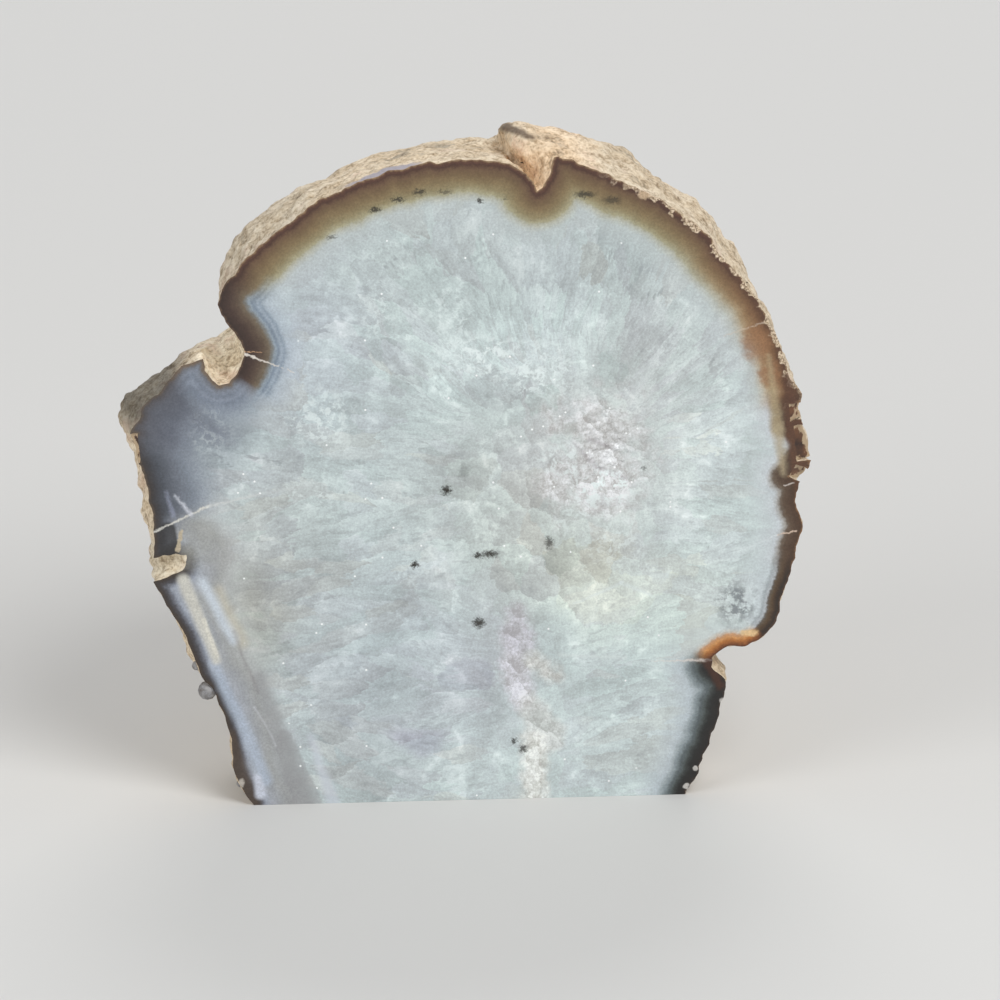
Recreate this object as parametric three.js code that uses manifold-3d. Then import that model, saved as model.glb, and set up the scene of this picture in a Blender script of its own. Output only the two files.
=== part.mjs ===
// A polished agate. A round nodule was sawn in two and the sawn face polished, then it was sawn once
// more underneath so that it stands by itself. The rind, the banded rim and the quartz heart grew
// together, so the stone is one solid. Millimetres, +Z up, and the polished face looks along -Y.
import * as THREE from "three";
import { ImprovedNoise } from "three/addons/math/ImprovedNoise.js";
import { mergeVertices } from "three/addons/utils/BufferGeometryUtils.js";
import Module from "manifold-3d";

const wasm = await Module();
wasm.setup();

// How far the stone runs behind its polished face, and how square its rounded back is.
const DEPTH = 59;
const BACK_SQUARENESS = 2.35;
// The height of the nodule's long axis above the sawn base, and how far the axis is to the right.
const AXIS_X = 1;
const AXIS_Z = 56;

// The edge of the polished face, as x and z from the middle of the base, anticlockwise as seen from
// the front. Each stretch is one smooth run between two sharp corners. reach says how far back the
// stretch's own ups and downs run before the rind smooths them away, and a crease that fills up is
// bridged from side to side by then.
const FACE_EDGE = [
  {
    name: "lower right lobe",
    reach: 20,
    points: [
      [38.4, -5], [40.4, 1], [42.8, 6], [44.9, 12], [46.6, 18], [47.5, 22.2], [46.3, 23.3], [45.1, 24.1],
      [44.6, 26.3],
    ],
  },
  {
    name: "right side of the main lobe, with its broken rim",
    reach: 16,
    points: [
      [44.6, 26.3], [46.6, 28], [52.6, 29], [55.4, 31.9], [58, 39.4], [59.6, 46.6], [61, 50.5],
      [60.3, 53.4], [59.5, 57.8], [61.7, 62.2], [62.6, 64.7], [61.4, 69.5], [60.1, 73.8], [60.8, 75.4],
      [57.9, 81.5], [56, 88.1],
    ],
  },
  {
    name: "upper right of the main lobe",
    reach: 26,
    points: [
      [56, 88.1], [52.3, 94.8], [48.6, 100.6], [46, 103.2], [43.9, 107], [38, 112.1], [31.1, 116.2],
      [23.4, 119.9], [18.6, 121.8], [15.8, 122.3],
    ],
  },
  {
    name: "crease in the top",
    reach: 30,
    fills: true,
    points: [[15.8, 122.3], [14.9, 119.4], [13.5, 115.9], [11.8, 118.6], [8.2, 121.5]],
  },
  {
    name: "upper left of the main lobe",
    reach: 26,
    points: [
      [8.2, 121.5], [0.9, 122.5], [-8.3, 121.6], [-19.3, 118.4], [-27.2, 114.3], [-36.4, 107.3],
      [-41.8, 101.6], [-44.3, 96.6], [-42.9, 92.9], [-40.7, 89.7],
    ],
  },
  {
    name: "crease between the main lobe and the shoulder",
    reach: 19,
    fills: true,
    points: [[-40.7, 89.7], [-39.7, 85.7], [-41.6, 82.2], [-43.5, 80.8], [-45.6, 82.4], [-47, 85.7]],
  },
  {
    name: "left shoulder",
    reach: 26,
    points: [[-47, 85.7], [-51.1, 84.1], [-53.9, 80.9], [-57.4, 77.1], [-60.4, 72.1]],
  },
  {
    name: "broken left edge",
    reach: 10,
    points: [
      [-60.4, 72.1], [-59.2, 70.3], [-58.9, 66.7], [-57.6, 65.1], [-57.3, 61.8], [-56.2, 56.7],
      [-56, 51.3], [-55.9, 48.3],
    ],
  },
  {
    name: "small crease in the left edge",
    reach: 5,
    fills: true,
    points: [[-55.9, 48.3], [-52.2, 48.9], [-50.4, 48.4], [-50.4, 46.6], [-51.8, 45.2], [-56.3, 43.7]],
  },
  {
    name: "lower left edge",
    reach: 12,
    points: [
      [-56.3, 43.7], [-52.8, 37.4], [-50.7, 33.6], [-49.1, 28.9], [-47.3, 24.3], [-45.3, 22.4],
      [-45, 20.2], [-44.1, 18.7], [-42.7, 14], [-42.1, 9.5], [-41.9, 6.6], [-40.9, 3.7], [-38.4, 0],
      [-35, -5],
    ],
  },
  {
    name: "sawn away with the base",
    reach: 20,
    points: [[-35, -5], [-22, -15.5], [3, -20], [27, -15], [38.4, -5]],
  },
];
const EDGE_STEPS = 256;

// The rings of the rind behind the face, as shares of a quarter turn towards the back, and how many
// of the edge's steps each keeps: every step near the face, fewer where the rings grow small.
const RINGS = [
  [0, 1], [0.008, 1], [0.025, 1], [0.055, 1], [0.09, 1], [0.13, 1], [0.175, 1], [0.225, 1], [0.28, 2],
  [0.335, 2], [0.39, 2], [0.45, 2], [0.51, 2], [0.57, 2], [0.63, 4], [0.69, 4], [0.75, 4], [0.81, 4],
  [0.865, 8], [0.915, 8], [0.96, 8],
];

// Swellings of the rind behind the face: where they are, how wide, and how far they push outwards.
const SWELLINGS = [
  { name: "crown right of the crease", at: [25, 19, 118], size: [11, 16, 12], push: 2 },
  { name: "knob on the crown", at: [30, 20, 119], size: [3.5, 8, 6], push: 0.9 },
  { name: "upper right shoulder", at: [44, 17, 104], size: [15, 15, 15], push: 1.5 },
  { name: "dip left of the crease", at: [5, 19, 121], size: [10, 15, 10], push: -1.2 },
  { name: "dip in the crown", at: [-13, 18, 120], size: [11, 15, 12], push: -1.3 },
  { name: "upper left shoulder", at: [-36, 16, 108], size: [14, 14, 14], push: 0.9 },
  { name: "hollow behind the left shoulder", at: [-47, 27, 82], size: [13, 15, 10], push: -4.2 },
  { name: "corner of the left shoulder", at: [-60, 9, 74], size: [7, 8, 6], push: 2.4 },
  { name: "left flank", at: [-52, 6, 50], size: [16, 7, 34], push: 1.1 },
  { name: "left heel", at: [-46, 4.5, 18], size: [10, 6, 14], push: 1.3 },
  { name: "knuckle high on the back", at: [-18, 46, 88], size: [16, 14, 15], push: 3.2 },
  { name: "knuckle low on the back", at: [24, 50, 34], size: [17, 14, 16], push: 2.8 },
  { name: "hollow in the back", at: [14, 52, 72], size: [14, 12, 13], push: -2.6 },
  { name: "hollow by the left heel", at: [-38, 34, 26], size: [12, 11, 13], push: -2.2 },
];
// The crease in the top leans to the left as it runs back, and the rind on its right stands up over
// it as a lip, which falls away to the right.
const CREASE_LEAN = 0.21;
const CREASE_MIDDLE = [13.5, 118];
const CREASE_SPREAD = 9;
const LIP_START = 10;
const LIP_HEIGHT = 4.6;
const LIP_SPREAD = 9;
const LIP_RISE = [1, 14];
const LIP_FALL = [16, 27];

// Bumps all over the rind, coarser and higher on the back, where the stone grew against the lava.
const RIND_BUMPS = [
  { size: 17, height: 1.5, onBack: 2.6 },
  { size: 8, height: 0.8, onBack: 1.5 },
  { size: 3.2, height: 0.45, onBack: 0 },
];
const BUMPS_START = 5;
const BACK_DEPTHS = [12, 40];

const noise = new ImprovedNoise();

// A smooth step from 0 to 1 between two values.
const ease = (value, low, high) => THREE.MathUtils.smoothstep(value, low, high);

// Samples the stretches of the face's edge, with each one's reach, into EDGE_STEPS points in a ring.
function sampleEdge() {
  const curves = FACE_EDGE.map(
    ({ points }) =>
      new THREE.CatmullRomCurve3(points.map(([x, z]) => new THREE.Vector3(x, 0, z)), false, "centripetal"),
  );
  const whole = curves.reduce((sum, curve) => sum + curve.getLength(), 0);
  const steps = curves.map((curve) => Math.max(3, Math.round((curve.getLength() / whole) * EDGE_STEPS)));
  // The stretch that is sawn away takes up what the rounding left over.
  steps[steps.length - 1] += EDGE_STEPS - steps.reduce((sum, n) => sum + n, 0);
  return curves.flatMap((curve, i) => {
    const { name, reach, fills } = FACE_EDGE[i];
    const [start, end] = [curve.getPoint(0), curve.getPoint(1)];
    return curve
      .getSpacedPoints(steps[i])
      .slice(0, -1)
      .map((at, k) => {
        const share = k / steps[i];
        const bridge = fills ? start.clone().lerp(end, share) : at;
        const rightOfCrease = name === "crease in the top" && share < 0.45;
        const onLip = name === "upper right of the main lobe" || rightOfCrease;
        const away = (bridge.x - LIP_START) / LIP_SPREAD;
        return { at, bridge, reach, lip: onLip ? LIP_HEIGHT * Math.exp(-away * away) : 0 };
      });
  });
}

// A ring of points with each one moved to the mean of its neighbours.
function smoothed(ring, halfWidth) {
  return ring.map((_, i) => {
    const mean = new THREE.Vector3();
    for (let k = -halfWidth; k <= halfWidth; k++) mean.add(ring[(i + k + ring.length) % ring.length]);
    return mean.divideScalar(2 * halfWidth + 1);
  });
}

const samples = sampleEdge();
const edge = samples.map(({ at }) => at);
// The section of the nodule a little way back, where the creases are filled, and near the far end,
// where the lobes have grown into one round back.
const edgeBehind = smoothed(smoothed(samples.map(({ bridge }) => bridge), 2), 2);
const edgeFar = smoothed(smoothed(smoothed(edgeBehind, 13), 13), 13);
const FAR_DEPTHS = [22, 52];
const reaches = smoothed(samples.map(({ reach }) => new THREE.Vector3(reach, 0, 0)), 2).map(({ x }) => x);

// One point of the nodule's rind: a step along the face's edge, and a share of the way round the back.
function rindPoint(step, share) {
  const turn = (share * Math.PI) / 2;
  const y = DEPTH * Math.sin(turn) ** (2 / BACK_SQUARENESS);
  const shrink = Math.max(0, 1 - (y / DEPTH) ** BACK_SQUARENESS) ** (1 / BACK_SQUARENESS);
  const closing = ease(y, 0, reaches[step]);
  const section = edge[step].clone().lerp(edgeBehind[step], closing);
  section.lerp(edgeFar[step], ease(y, ...FAR_DEPTHS));
  const x = AXIS_X + (section.x - AXIS_X) * shrink;
  const z = AXIS_Z + (section.z - AXIS_Z) * shrink;
  const point = new THREE.Vector3(x, y, z);
  const fromCrease = Math.hypot(point.x - CREASE_MIDDLE[0], point.z - CREASE_MIDDLE[1]) / CREASE_SPREAD;
  point.x -= CREASE_LEAN * y * Math.exp(-fromCrease * fromCrease);
  point.z += samples[step].lip * ease(y, ...LIP_RISE) * (1 - ease(y, ...LIP_FALL));
  return roughened(point);
}

// Pushes a point of the rind in or out by the swellings and the bumps. The sawn edge stays true.
function roughened(point) {
  const out = new THREE.Vector3(point.x - AXIS_X, Math.max(0, point.y - 12), point.z - AXIS_Z).normalize();
  let push = 0;
  for (const { at, size, push: height } of SWELLINGS) {
    const far = Math.hypot(...at.map((middle, k) => (point.getComponent(k) - middle) / size[k]));
    push += height * Math.exp(-far * far) * ease(point.y, 0, 8);
  }
  RIND_BUMPS.forEach(({ size, height, onBack }, k) => {
    const bump = noise.noise(point.x / size + 11 * k, point.y / size + 3.7, point.z / size + 7.1);
    const high = THREE.MathUtils.lerp(height, onBack, ease(point.y, ...BACK_DEPTHS));
    push += high * bump * ease(point.y, 0, BUMPS_START);
  });
  return point.clone().addScaledVector(out, push);
}

// The whole nodule behind the plane of the face: rings of rind that close at the back, and a flat cap.
function noduleGeometry() {
  const points = [];
  const faces = [];
  const rings = RINGS.map(([share, skip]) => {
    const ring = [];
    for (let step = 0; step < EDGE_STEPS; step += skip) {
      ring.push(points.length);
      points.push(rindPoint(step, share));
    }
    return ring;
  });
  rings.slice(1).forEach((back, k) => {
    const front = rings[k];
    const ratio = front.length / back.length;
    back.forEach((a, i) => {
      const b = back[(i + 1) % back.length];
      const [p, q] = [front[i * ratio], front[(i * ratio + ratio) % front.length]];
      if (ratio === 1) faces.push([p, a, q], [a, b, q]);
      else {
        const middle = front[i * ratio + 1];
        faces.push([p, a, middle], [a, b, middle], [middle, b, q]);
      }
    });
  });
  const last = rings.at(-1);
  const pole = points.length;
  points.push(roughened(new THREE.Vector3(AXIS_X, DEPTH, AXIS_Z)));
  last.forEach((a, i) => faces.push([a, pole, last[(i + 1) % last.length]]));
  const outline = rings[0].map((i) => new THREE.Vector2(points[i].x, points[i].z));
  faces.push(...THREE.ShapeUtils.triangulateShape(outline, []));
  return new THREE.BufferGeometry()
    .setAttribute("position", new THREE.Float32BufferAttribute(points.flatMap((at) => at.toArray()), 3))
    .setIndex(faces.flat());
}

// Turns a closed geometry into a solid that can be cut and joined, and back again.
function solid(geometry) {
  const bare = geometry.clone();
  bare.deleteAttribute("normal");
  bare.deleteAttribute("uv");
  const merged = mergeVertices(bare, 1e-4);
  return new wasm.Manifold(
    new wasm.Mesh({
      numProp: 3,
      vertProperties: merged.attributes.position.array,
      triVerts: new Uint32Array(merged.index.array),
    }),
  );
}

function geometryOf(shape) {
  const { vertProperties, triVerts } = shape.getMesh();
  const geometry = new THREE.BufferGeometry()
    .setAttribute("position", new THREE.Float32BufferAttribute(vertProperties, 3))
    .setIndex([...triVerts]);
  geometry.computeVertexNormals();
  return geometry;
}

// The block of stone that the saw took off below the base.
function belowTheBase() {
  return solid(new THREE.BoxGeometry(200, 200, 60).translate(0, 0, -30));
}

// Small open vugs in the heart, where the quartz from both walls met without closing up: the middle
// of each in the face, half its width and height, and how deep it goes.
const VUGS = [
  { name: "main vug", at: [24.4, 65.6], half: [8.6, 10.6], deep: 1.7, facets: 3 },
  { name: "upper seam vug", at: [9.6, 26.2], half: [2.6, 3.4], deep: 0.9, facets: 1 },
  { name: "lower seam vug", at: [12.8, 12.4], half: [2.4, 4.4], deep: 1, facets: 1 },
];

// An uneven hollow whose flat facets are the broken bottom of a vug.
function vugHollow({ at, half, deep, facets }) {
  const hollow = new THREE.IcosahedronGeometry(1, facets);
  const position = hollow.attributes.position;
  const corner = new THREE.Vector3();
  for (let i = 0; i < position.count; i++) {
    corner.fromBufferAttribute(position, i);
    const wobble = 1 + 0.42 * noise.noise(corner.x * 2.1 + at[0], corner.y * 2.1, corner.z * 2.1 + at[1]);
    corner.multiplyScalar(wobble);
    position.setXYZ(i, at[0] + corner.x * half[0], corner.y * deep, at[1] + corner.z * half[1]);
  }
  return solid(hollow);
}

// The quartz points on the bottom of the main vug stand in turned rows, six-sided and a little askew.
const CRYSTAL_RADIUS = 1.05;
const CRYSTAL_LENGTH = 2.1;
const CRYSTAL_COUNT = 44;
const GOLDEN_TURN = 2.39996;

function quartzPoint(x, z, root, radius, length, leanX, leanZ) {
  const tip = new THREE.Vector3(leanX, -1, leanZ).normalize();
  const turn = new THREE.Quaternion().setFromUnitVectors(new THREE.Vector3(0, 1, 0), tip);
  const point = new THREE.ConeGeometry(radius, length, 6).rotateY(x * 5 + z);
  point.applyQuaternion(turn).translate(x, root, z);
  return solid(point);
}

function quartzPoints({ at, half, deep }) {
  const points = [];
  for (let k = 0; k < CRYSTAL_COUNT; k++) {
    const spread = Math.sqrt((k + 0.5) / CRYSTAL_COUNT) * 0.86;
    const turn = k * GOLDEN_TURN;
    const x = at[0] + Math.cos(turn) * spread * half[0];
    const z = at[1] + Math.sin(turn) * spread * half[1];
    const vary = noise.noise(x * 1.7, 4.2, z * 1.7);
    const root = deep * (1.02 - 0.5 * spread * spread) - 0.25 * vary;
    const radius = CRYSTAL_RADIUS * (1 + 0.7 * vary);
    const length = CRYSTAL_LENGTH * (1 + 0.5 * vary);
    points.push(quartzPoint(x, z, root, radius, length, 1.1 * vary, 0.5 * Math.sin(7 * k)));
  }
  return points;
}

// Flakes that have sprung off the rim of the face: the middle of each on the edge, how long it is up
// the edge, how far it bites into the face, and which way the rim faces there.
const FLAKES = [
  { at: [60.4, 73.3], long: 3.4, bite: 1.9, facing: 5 },
  { at: [62.3, 67.4], long: 6.6, bite: 2.8, facing: 4 },
  { at: [60.6, 61.3], long: 2.8, bite: 1.7, facing: -28 },
  { at: [-60.2, 69.2], long: 5.6, bite: 1.6, facing: 186 },
];
const FLAKE_SLOPE = 38;

function flake({ at, long, bite, facing }) {
  // The block's back side is the cut. It starts in the face and runs out behind the rim.
  const block = new THREE.BoxGeometry(20, 8, long).translate(8, -4, 0);
  block.rotateZ((FLAKE_SLOPE * Math.PI) / 180).translate(-bite, 0, 0);
  return solid(block.rotateY((-facing * Math.PI) / 180).translate(at[0], 0, at[1]));
}

// A drop of chalcedony that stands on the left edge like a pearl, and two smaller ones by the heel.
const PEARLS = [
  { at: [-46.6, 1.5, 21.9], radius: 1.75 },
  { at: [-48.5, 1.3, 26.8], radius: 0.9 },
  { at: [-40.7, 0.9, 4], radius: 0.8 },
];

const rind = solid(noduleGeometry());
let stone = rind.subtract(belowTheBase());
for (const { at, radius } of PEARLS) {
  stone = stone.add(solid(new THREE.IcosahedronGeometry(radius, 1).translate(...at)));
}
for (const vug of VUGS) stone = stone.subtract(vugHollow(vug));
for (const point of quartzPoints(VUGS[0])) stone = stone.add(point);
for (const chip of FLAKES) stone = stone.subtract(flake(chip));
// The polish takes off whatever stands in front of the face.
stone = stone.subtract(solid(new THREE.BoxGeometry(200, 20, 200).translate(0, -10, 60)));
stone = stone.subtract(belowTheBase());

// The origin is under the middle of the stone's box, on the surface that it stands on.
const agate = geometryOf(stone);
agate.computeBoundingBox();
const middle = agate.boundingBox.getCenter(new THREE.Vector3());

const mesh = new THREE.Mesh(
  agate,
  new THREE.MeshStandardMaterial({ name: "agate", color: 0xb9c3c6, roughness: 0.25, metalness: 0 }),
);
mesh.name = "agate";
mesh.position.set(-middle.x, -middle.y, 0);

const group = new THREE.Group();
group.add(mesh);
export default group;
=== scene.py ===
import math

import bmesh
import bpy
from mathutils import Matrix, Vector, kdtree, noise


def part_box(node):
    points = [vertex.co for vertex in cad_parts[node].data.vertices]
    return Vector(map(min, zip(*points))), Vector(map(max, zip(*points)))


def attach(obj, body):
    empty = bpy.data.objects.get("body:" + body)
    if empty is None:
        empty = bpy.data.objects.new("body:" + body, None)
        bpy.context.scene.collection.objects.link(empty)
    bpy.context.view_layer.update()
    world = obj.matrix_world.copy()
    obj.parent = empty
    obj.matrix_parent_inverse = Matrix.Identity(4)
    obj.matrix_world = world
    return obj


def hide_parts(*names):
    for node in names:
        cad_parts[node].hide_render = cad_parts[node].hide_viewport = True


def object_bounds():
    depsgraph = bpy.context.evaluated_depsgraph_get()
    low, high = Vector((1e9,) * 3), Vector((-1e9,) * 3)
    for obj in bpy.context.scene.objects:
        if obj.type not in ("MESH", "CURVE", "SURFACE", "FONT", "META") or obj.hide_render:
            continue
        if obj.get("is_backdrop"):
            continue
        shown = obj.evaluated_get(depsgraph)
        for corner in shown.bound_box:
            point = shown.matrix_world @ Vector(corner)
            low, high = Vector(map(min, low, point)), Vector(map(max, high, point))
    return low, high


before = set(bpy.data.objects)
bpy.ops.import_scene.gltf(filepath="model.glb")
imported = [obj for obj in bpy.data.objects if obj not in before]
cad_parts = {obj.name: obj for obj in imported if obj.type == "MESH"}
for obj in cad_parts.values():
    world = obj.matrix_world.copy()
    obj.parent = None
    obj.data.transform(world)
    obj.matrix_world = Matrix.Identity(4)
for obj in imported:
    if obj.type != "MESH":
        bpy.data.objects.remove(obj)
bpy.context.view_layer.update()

# The stone. One half of an agate nodule, sawn through, with its cut face ground flat and polished.
# It is quartz all through, with a banded rim that grew first and a weathered rind outside, and it
# was sawn once more underneath so that it stands by itself.
MM = 0.001
MERGE_GAP = 0.002 * MM
FLATNESS = 0.01 * MM
stone_low, stone_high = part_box("agate")
POLISH_Y = stone_low.y
FACE, BASE, RIND, DRUSE, CHIP, PEARL = range(6)

# The small open vugs in the face: the middle of each as x and z, and half its width and height, in mm.
VUGS = [
    ((24.3, 65.6), (13.0, 16.0)),
    ((9.5, 26.2), (4.2, 5.2)),
    ((12.7, 12.4), (4.0, 6.6)),
]
# The places where a flake has sprung off the rim: the middle in mm, its reach, and which way the
# rim faces there in degrees. All of them slope back from the face by the same angle.
CHIPS = [
    ((60.3, 73.3), 5, 5),
    ((62.2, 67.4), 6, 4),
    ((60.5, 61.3), 5, -28),
    ((-60.3, 69.2), 6, 186),
]
CHIP_SLOPE = math.radians(38)
# The round beads of chalcedony on the lower left edge: the middle and the radius of each, in mm.
PEARLS = [
    ((-46.68, 1.5, 21.9), 1.75),
    ((-48.58, 1.3, 26.8), 0.9),
    ((-40.78, 0.9, 4.0), 0.8),
]
PEARL_MARGIN = 0.12

stone = bmesh.new()
stone.from_mesh(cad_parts["agate"].data)
bmesh.ops.remove_doubles(stone, verts=stone.verts, dist=MERGE_GAP)
stone.normal_update()


def part_of_stone(face):
    """Which part of the stone's surface a face belongs to."""
    middle = face.calc_center_median() / MM
    for (x, behind, z), radius in PEARLS:
        if (middle - Vector((x, POLISH_Y / MM + behind, z))).length < radius + PEARL_MARGIN:
            return PEARL
    if all(abs(vert.co.y - POLISH_Y) < FLATNESS for vert in face.verts):
        return FACE
    if all(abs(vert.co.z) < FLATNESS for vert in face.verts):
        return BASE
    for (x, z), (half_x, half_z) in VUGS:
        if math.hypot((middle.x - x) / half_x, (middle.z - z) / half_z) < 1:
            if middle.y < POLISH_Y / MM + 5:
                return DRUSE
    for (x, z), reach, facing in CHIPS:
        outward = Vector((math.cos(math.radians(facing)), 0, math.sin(math.radians(facing))))
        slope = outward * math.sin(CHIP_SLOPE) - Vector((0, 1, 0)) * math.cos(CHIP_SLOPE)
        if math.hypot(middle.x - x, middle.z - z) < reach and face.normal.dot(slope) > 0.99:
            return CHIP
    return RIND


for face in stone.faces:
    face.material_index = part_of_stone(face)


def parts_beside(edge):
    """The parts of the stone that meet at an edge."""
    return {face.material_index for face in edge.link_faces}


def on_wall(edge):
    """Whether an edge is the natural outline of the face, where the rind meets the polish."""
    beside = parts_beside(edge)
    return RIND in beside and bool(beside & {FACE, CHIP})


def wall_tree(step):
    """The outline of the face as a search tree of points this far apart at most."""
    points = []
    for edge in stone.edges:
        if on_wall(edge):
            start, end = (vert.co for vert in edge.verts)
            count = max(1, math.ceil((end - start).length / step))
            points += [start.lerp(end, k / count) for k in range(count + 1)]
    tree = kdtree.KDTree(len(points))
    for index, point in enumerate(points):
        tree.insert((point.x, 0, point.z), index)
    tree.balance()
    return tree


# The surface is divided until its edges are this short, in mm: finest where the grain shows most.
SHORTEST = {BASE: 5.0, RIND: 0.78, DRUSE: 0.37, CHIP: 0.6, PEARL: 0.5}
RIND_ON_BACK = 1.8
FRONT_DEPTH = 24
FACE_AT_WALL = 0.75
FACE_GROWTH = 0.09
FACE_LONGEST = 2.4
wall_first = wall_tree(0.5 * MM)


def longest_allowed(edge):
    """How long an edge may stay, in metres."""
    beside = parts_beside(edge)
    middle = (edge.verts[0].co + edge.verts[1].co) / 2
    limits = [SHORTEST[part] for part in beside if part != FACE]
    if RIND in beside and beside <= {RIND, BASE}:
        depth = (middle.y - POLISH_Y) / MM
        limits = [SHORTEST[RIND] if depth < FRONT_DEPTH else RIND_ON_BACK]
    if FACE in beside:
        from_wall = wall_first.find((middle.x, 0, middle.z))[2] / MM
        limits.append(min(FACE_LONGEST, FACE_AT_WALL + FACE_GROWTH * from_wall))
    return min(limits) * MM


def divide_long_edges(coarsest):
    """One round of division: every edge over its limit, and over the round's own, is halved."""
    long_edges = [e for e in stone.edges if e.calc_length() > max(longest_allowed(e), coarsest)]
    if not long_edges:
        return False
    bmesh.ops.subdivide_edges(stone, edges=long_edges, cuts=1)
    many_sided = [face for face in stone.faces if len(face.verts) > 3]
    bmesh.ops.triangulate(stone, faces=many_sided, quad_method="BEAUTY", ngon_method="BEAUTY")
    flat_faces = [face for face in stone.faces if face.material_index in (FACE, BASE)]
    flat_edges = [
        edge for edge in stone.edges
        if len(edge.link_faces) == 2 and parts_beside(edge) in ({FACE}, {BASE})
    ]
    bmesh.ops.beautify_fill(stone, faces=flat_faces, edges=flat_edges, method="AREA")
    return True


for coarsest in (40, 20, 10, 5, 2.5, 1.2, 0, 0, 0):
    if not divide_long_edges(coarsest * MM):
        break


def inner_verts(*parts):
    """The vertices that lie wholly inside these parts of the surface."""
    return [
        vert for vert in stone.verts
        if all(face.material_index in parts for face in vert.link_faces)
    ]


ROUNDING_PASSES = 7
for _ in range(ROUNDING_PASSES):
    bmesh.ops.smooth_vert(
        stone, verts=inner_verts(RIND), factor=0.5,
        use_axis_x=True, use_axis_y=True, use_axis_z=True,
    )

# The lip of rind right of the top crease leans over it to the left and ends in a sharp horn.
LIP_MIDDLE = (12.6, 122.6)
LIP_REACH = (5.2, 3.4)
LIP_SHIFT = (-3.4, 0.5)
LIP_DEPTHS = (2, 9, 18, 27)


def soft_step(value, low, high):
    """A smooth step from 0 to 1 while the value goes from low to high."""
    share = min(1, max(0, (value - low) / (high - low)))
    return share * share * (3 - 2 * share)


for vert in inner_verts(RIND):
    at = vert.co / MM
    depth = at.y - POLISH_Y / MM
    in_depth = soft_step(depth, *LIP_DEPTHS[:2]) * (1 - soft_step(depth, *LIP_DEPTHS[2:]))
    away_x = (at.x - LIP_MIDDLE[0]) / LIP_REACH[0]
    away_z = (at.z - LIP_MIDDLE[1]) / LIP_REACH[1]
    share = in_depth * math.exp(-away_x * away_x - away_z * away_z)
    vert.co += Vector((LIP_SHIFT[0], 0, LIP_SHIFT[1])) * share * MM
    vert.co.z = min(vert.co.z, stone_high.z)

# The outline of the face is a little ragged, because the rind broke away grain by grain.
WALL_WEAR = ((5.0, 0.5), (2.0, 0.4), (1.1, 0.22))
NOISE_SEED = 7
noise.seed_set(NOISE_SEED)
SMOOTH_EDGE_BELOW = 44
for vert in stone.verts:
    if any(on_wall(edge) for edge in vert.link_edges) and vert.co.z > 0.5 * MM:
        smooth_edge = vert.co.x < -0.035 and vert.co.z < SMOOTH_EDGE_BELOW * MM
        for size, height in WALL_WEAR:
            height *= 0.45 if smooth_edge else 1
            push = noise.noise_vector(vert.co / (size * MM)) * height * MM
            vert.co += Vector((push.x, 0, push.z))
        vert.co.x = max(stone_low.x, min(stone_high.x, vert.co.x))
        vert.co.z = min(stone_high.z, vert.co.z)
for _ in range(4):
    bmesh.ops.smooth_vert(
        stone, verts=inner_verts(FACE), factor=0.5,
        use_axis_x=True, use_axis_y=False, use_axis_z=True,
    )

# The rind is gritty: grains on lumps, and small pits where grains have fallen out. Each scale has a
# size and a height in mm.
RIND_GRIT = ((6.5, 0.5), (2.6, 0.5), (1.3, 0.3))
PIT_SIZE = 2.1
PIT_DEPTH = 0.3
CRUST_LEFT_OF = -48
CRUST_BELOW = 76
CRUST_LUMPS = (3.4, 1.1)
stone.normal_update()
wall = wall_tree(0.12 * MM)
for vert in inner_verts(RIND):
    at = vert.co / MM
    depth = at.y - POLISH_Y / MM
    settled = min(1, max(0, depth / 1.6)) * min(1, max(0, at.z / 1.5))
    push = sum(noise.noise(at / size) * height for size, height in RIND_GRIT)
    nearest = noise.voronoi(at / PIT_SIZE)[0][0]
    push -= PIT_DEPTH * max(0, 1 - nearest / 0.32)
    if at.x < CRUST_LEFT_OF and at.z < CRUST_BELOW:
        push += CRUST_LUMPS[1] * max(0, 0.6 - noise.voronoi(at / CRUST_LUMPS[0])[0][0])
    vert.co += vert.normal * (push - 0.12) * settled * MM
    vert.co = Vector(max(least, min(most, value)) for least, most, value in zip(stone_low, stone_high, vert.co))

# The bottom of each vug is a druse, a crust of quartz grains that each end in a blunt point. It
# rises to the polish all round, so the vug has no sharp edge.
DRUSE_GRAINS = ((2.4, 0.34), (1.0, 0.26))
DRUSE_RISE = 4.5
DRUSE_SHARE = 0.5
DRUSE_HOLLOWS = 6.5
brinks = [
    (edge.verts[0].co + edge.verts[1].co) / 2 for edge in stone.edges if parts_beside(edge) == {FACE, DRUSE}
]
brink = kdtree.KDTree(len(brinks))
for index, point in enumerate(brinks):
    brink.insert((point.x, 0, point.z), index)
brink.balance()
druse_verts = inner_verts(DRUSE)
for _ in range(80):
    bmesh.ops.smooth_vert(
        stone, verts=druse_verts, factor=0.5, use_axis_x=True, use_axis_y=False, use_axis_z=True,
    )
for vert in druse_verts:
    at = vert.co / MM
    inside = brink.find((vert.co.x, 0, vert.co.z))[2] / MM
    room = at.y - POLISH_Y / MM
    push = sum(height * (0.5 - noise.voronoi(at / size)[0][0]) for size, height in DRUSE_GRAINS)
    hollow = soft_step(noise.noise(at / DRUSE_HOLLOWS), -0.3, 0.35)
    sunk = hollow * (room * DRUSE_SHARE * soft_step(inside, -0.6, DRUSE_RISE) - push * soft_step(inside, 0, 2))
    vert.co.y = POLISH_Y + max(0.02, sunk) * MM

stone.normal_update()
for edge in stone.edges:
    edge.smooth = len(parts_beside(edge)) == 1
for face in stone.faces:
    face.smooth = face.material_index in (RIND, FACE, BASE, PEARL)

stone_mesh = bpy.data.meshes.new("polished_agate")
stone.to_mesh(stone_mesh)
stone.free()

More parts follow.
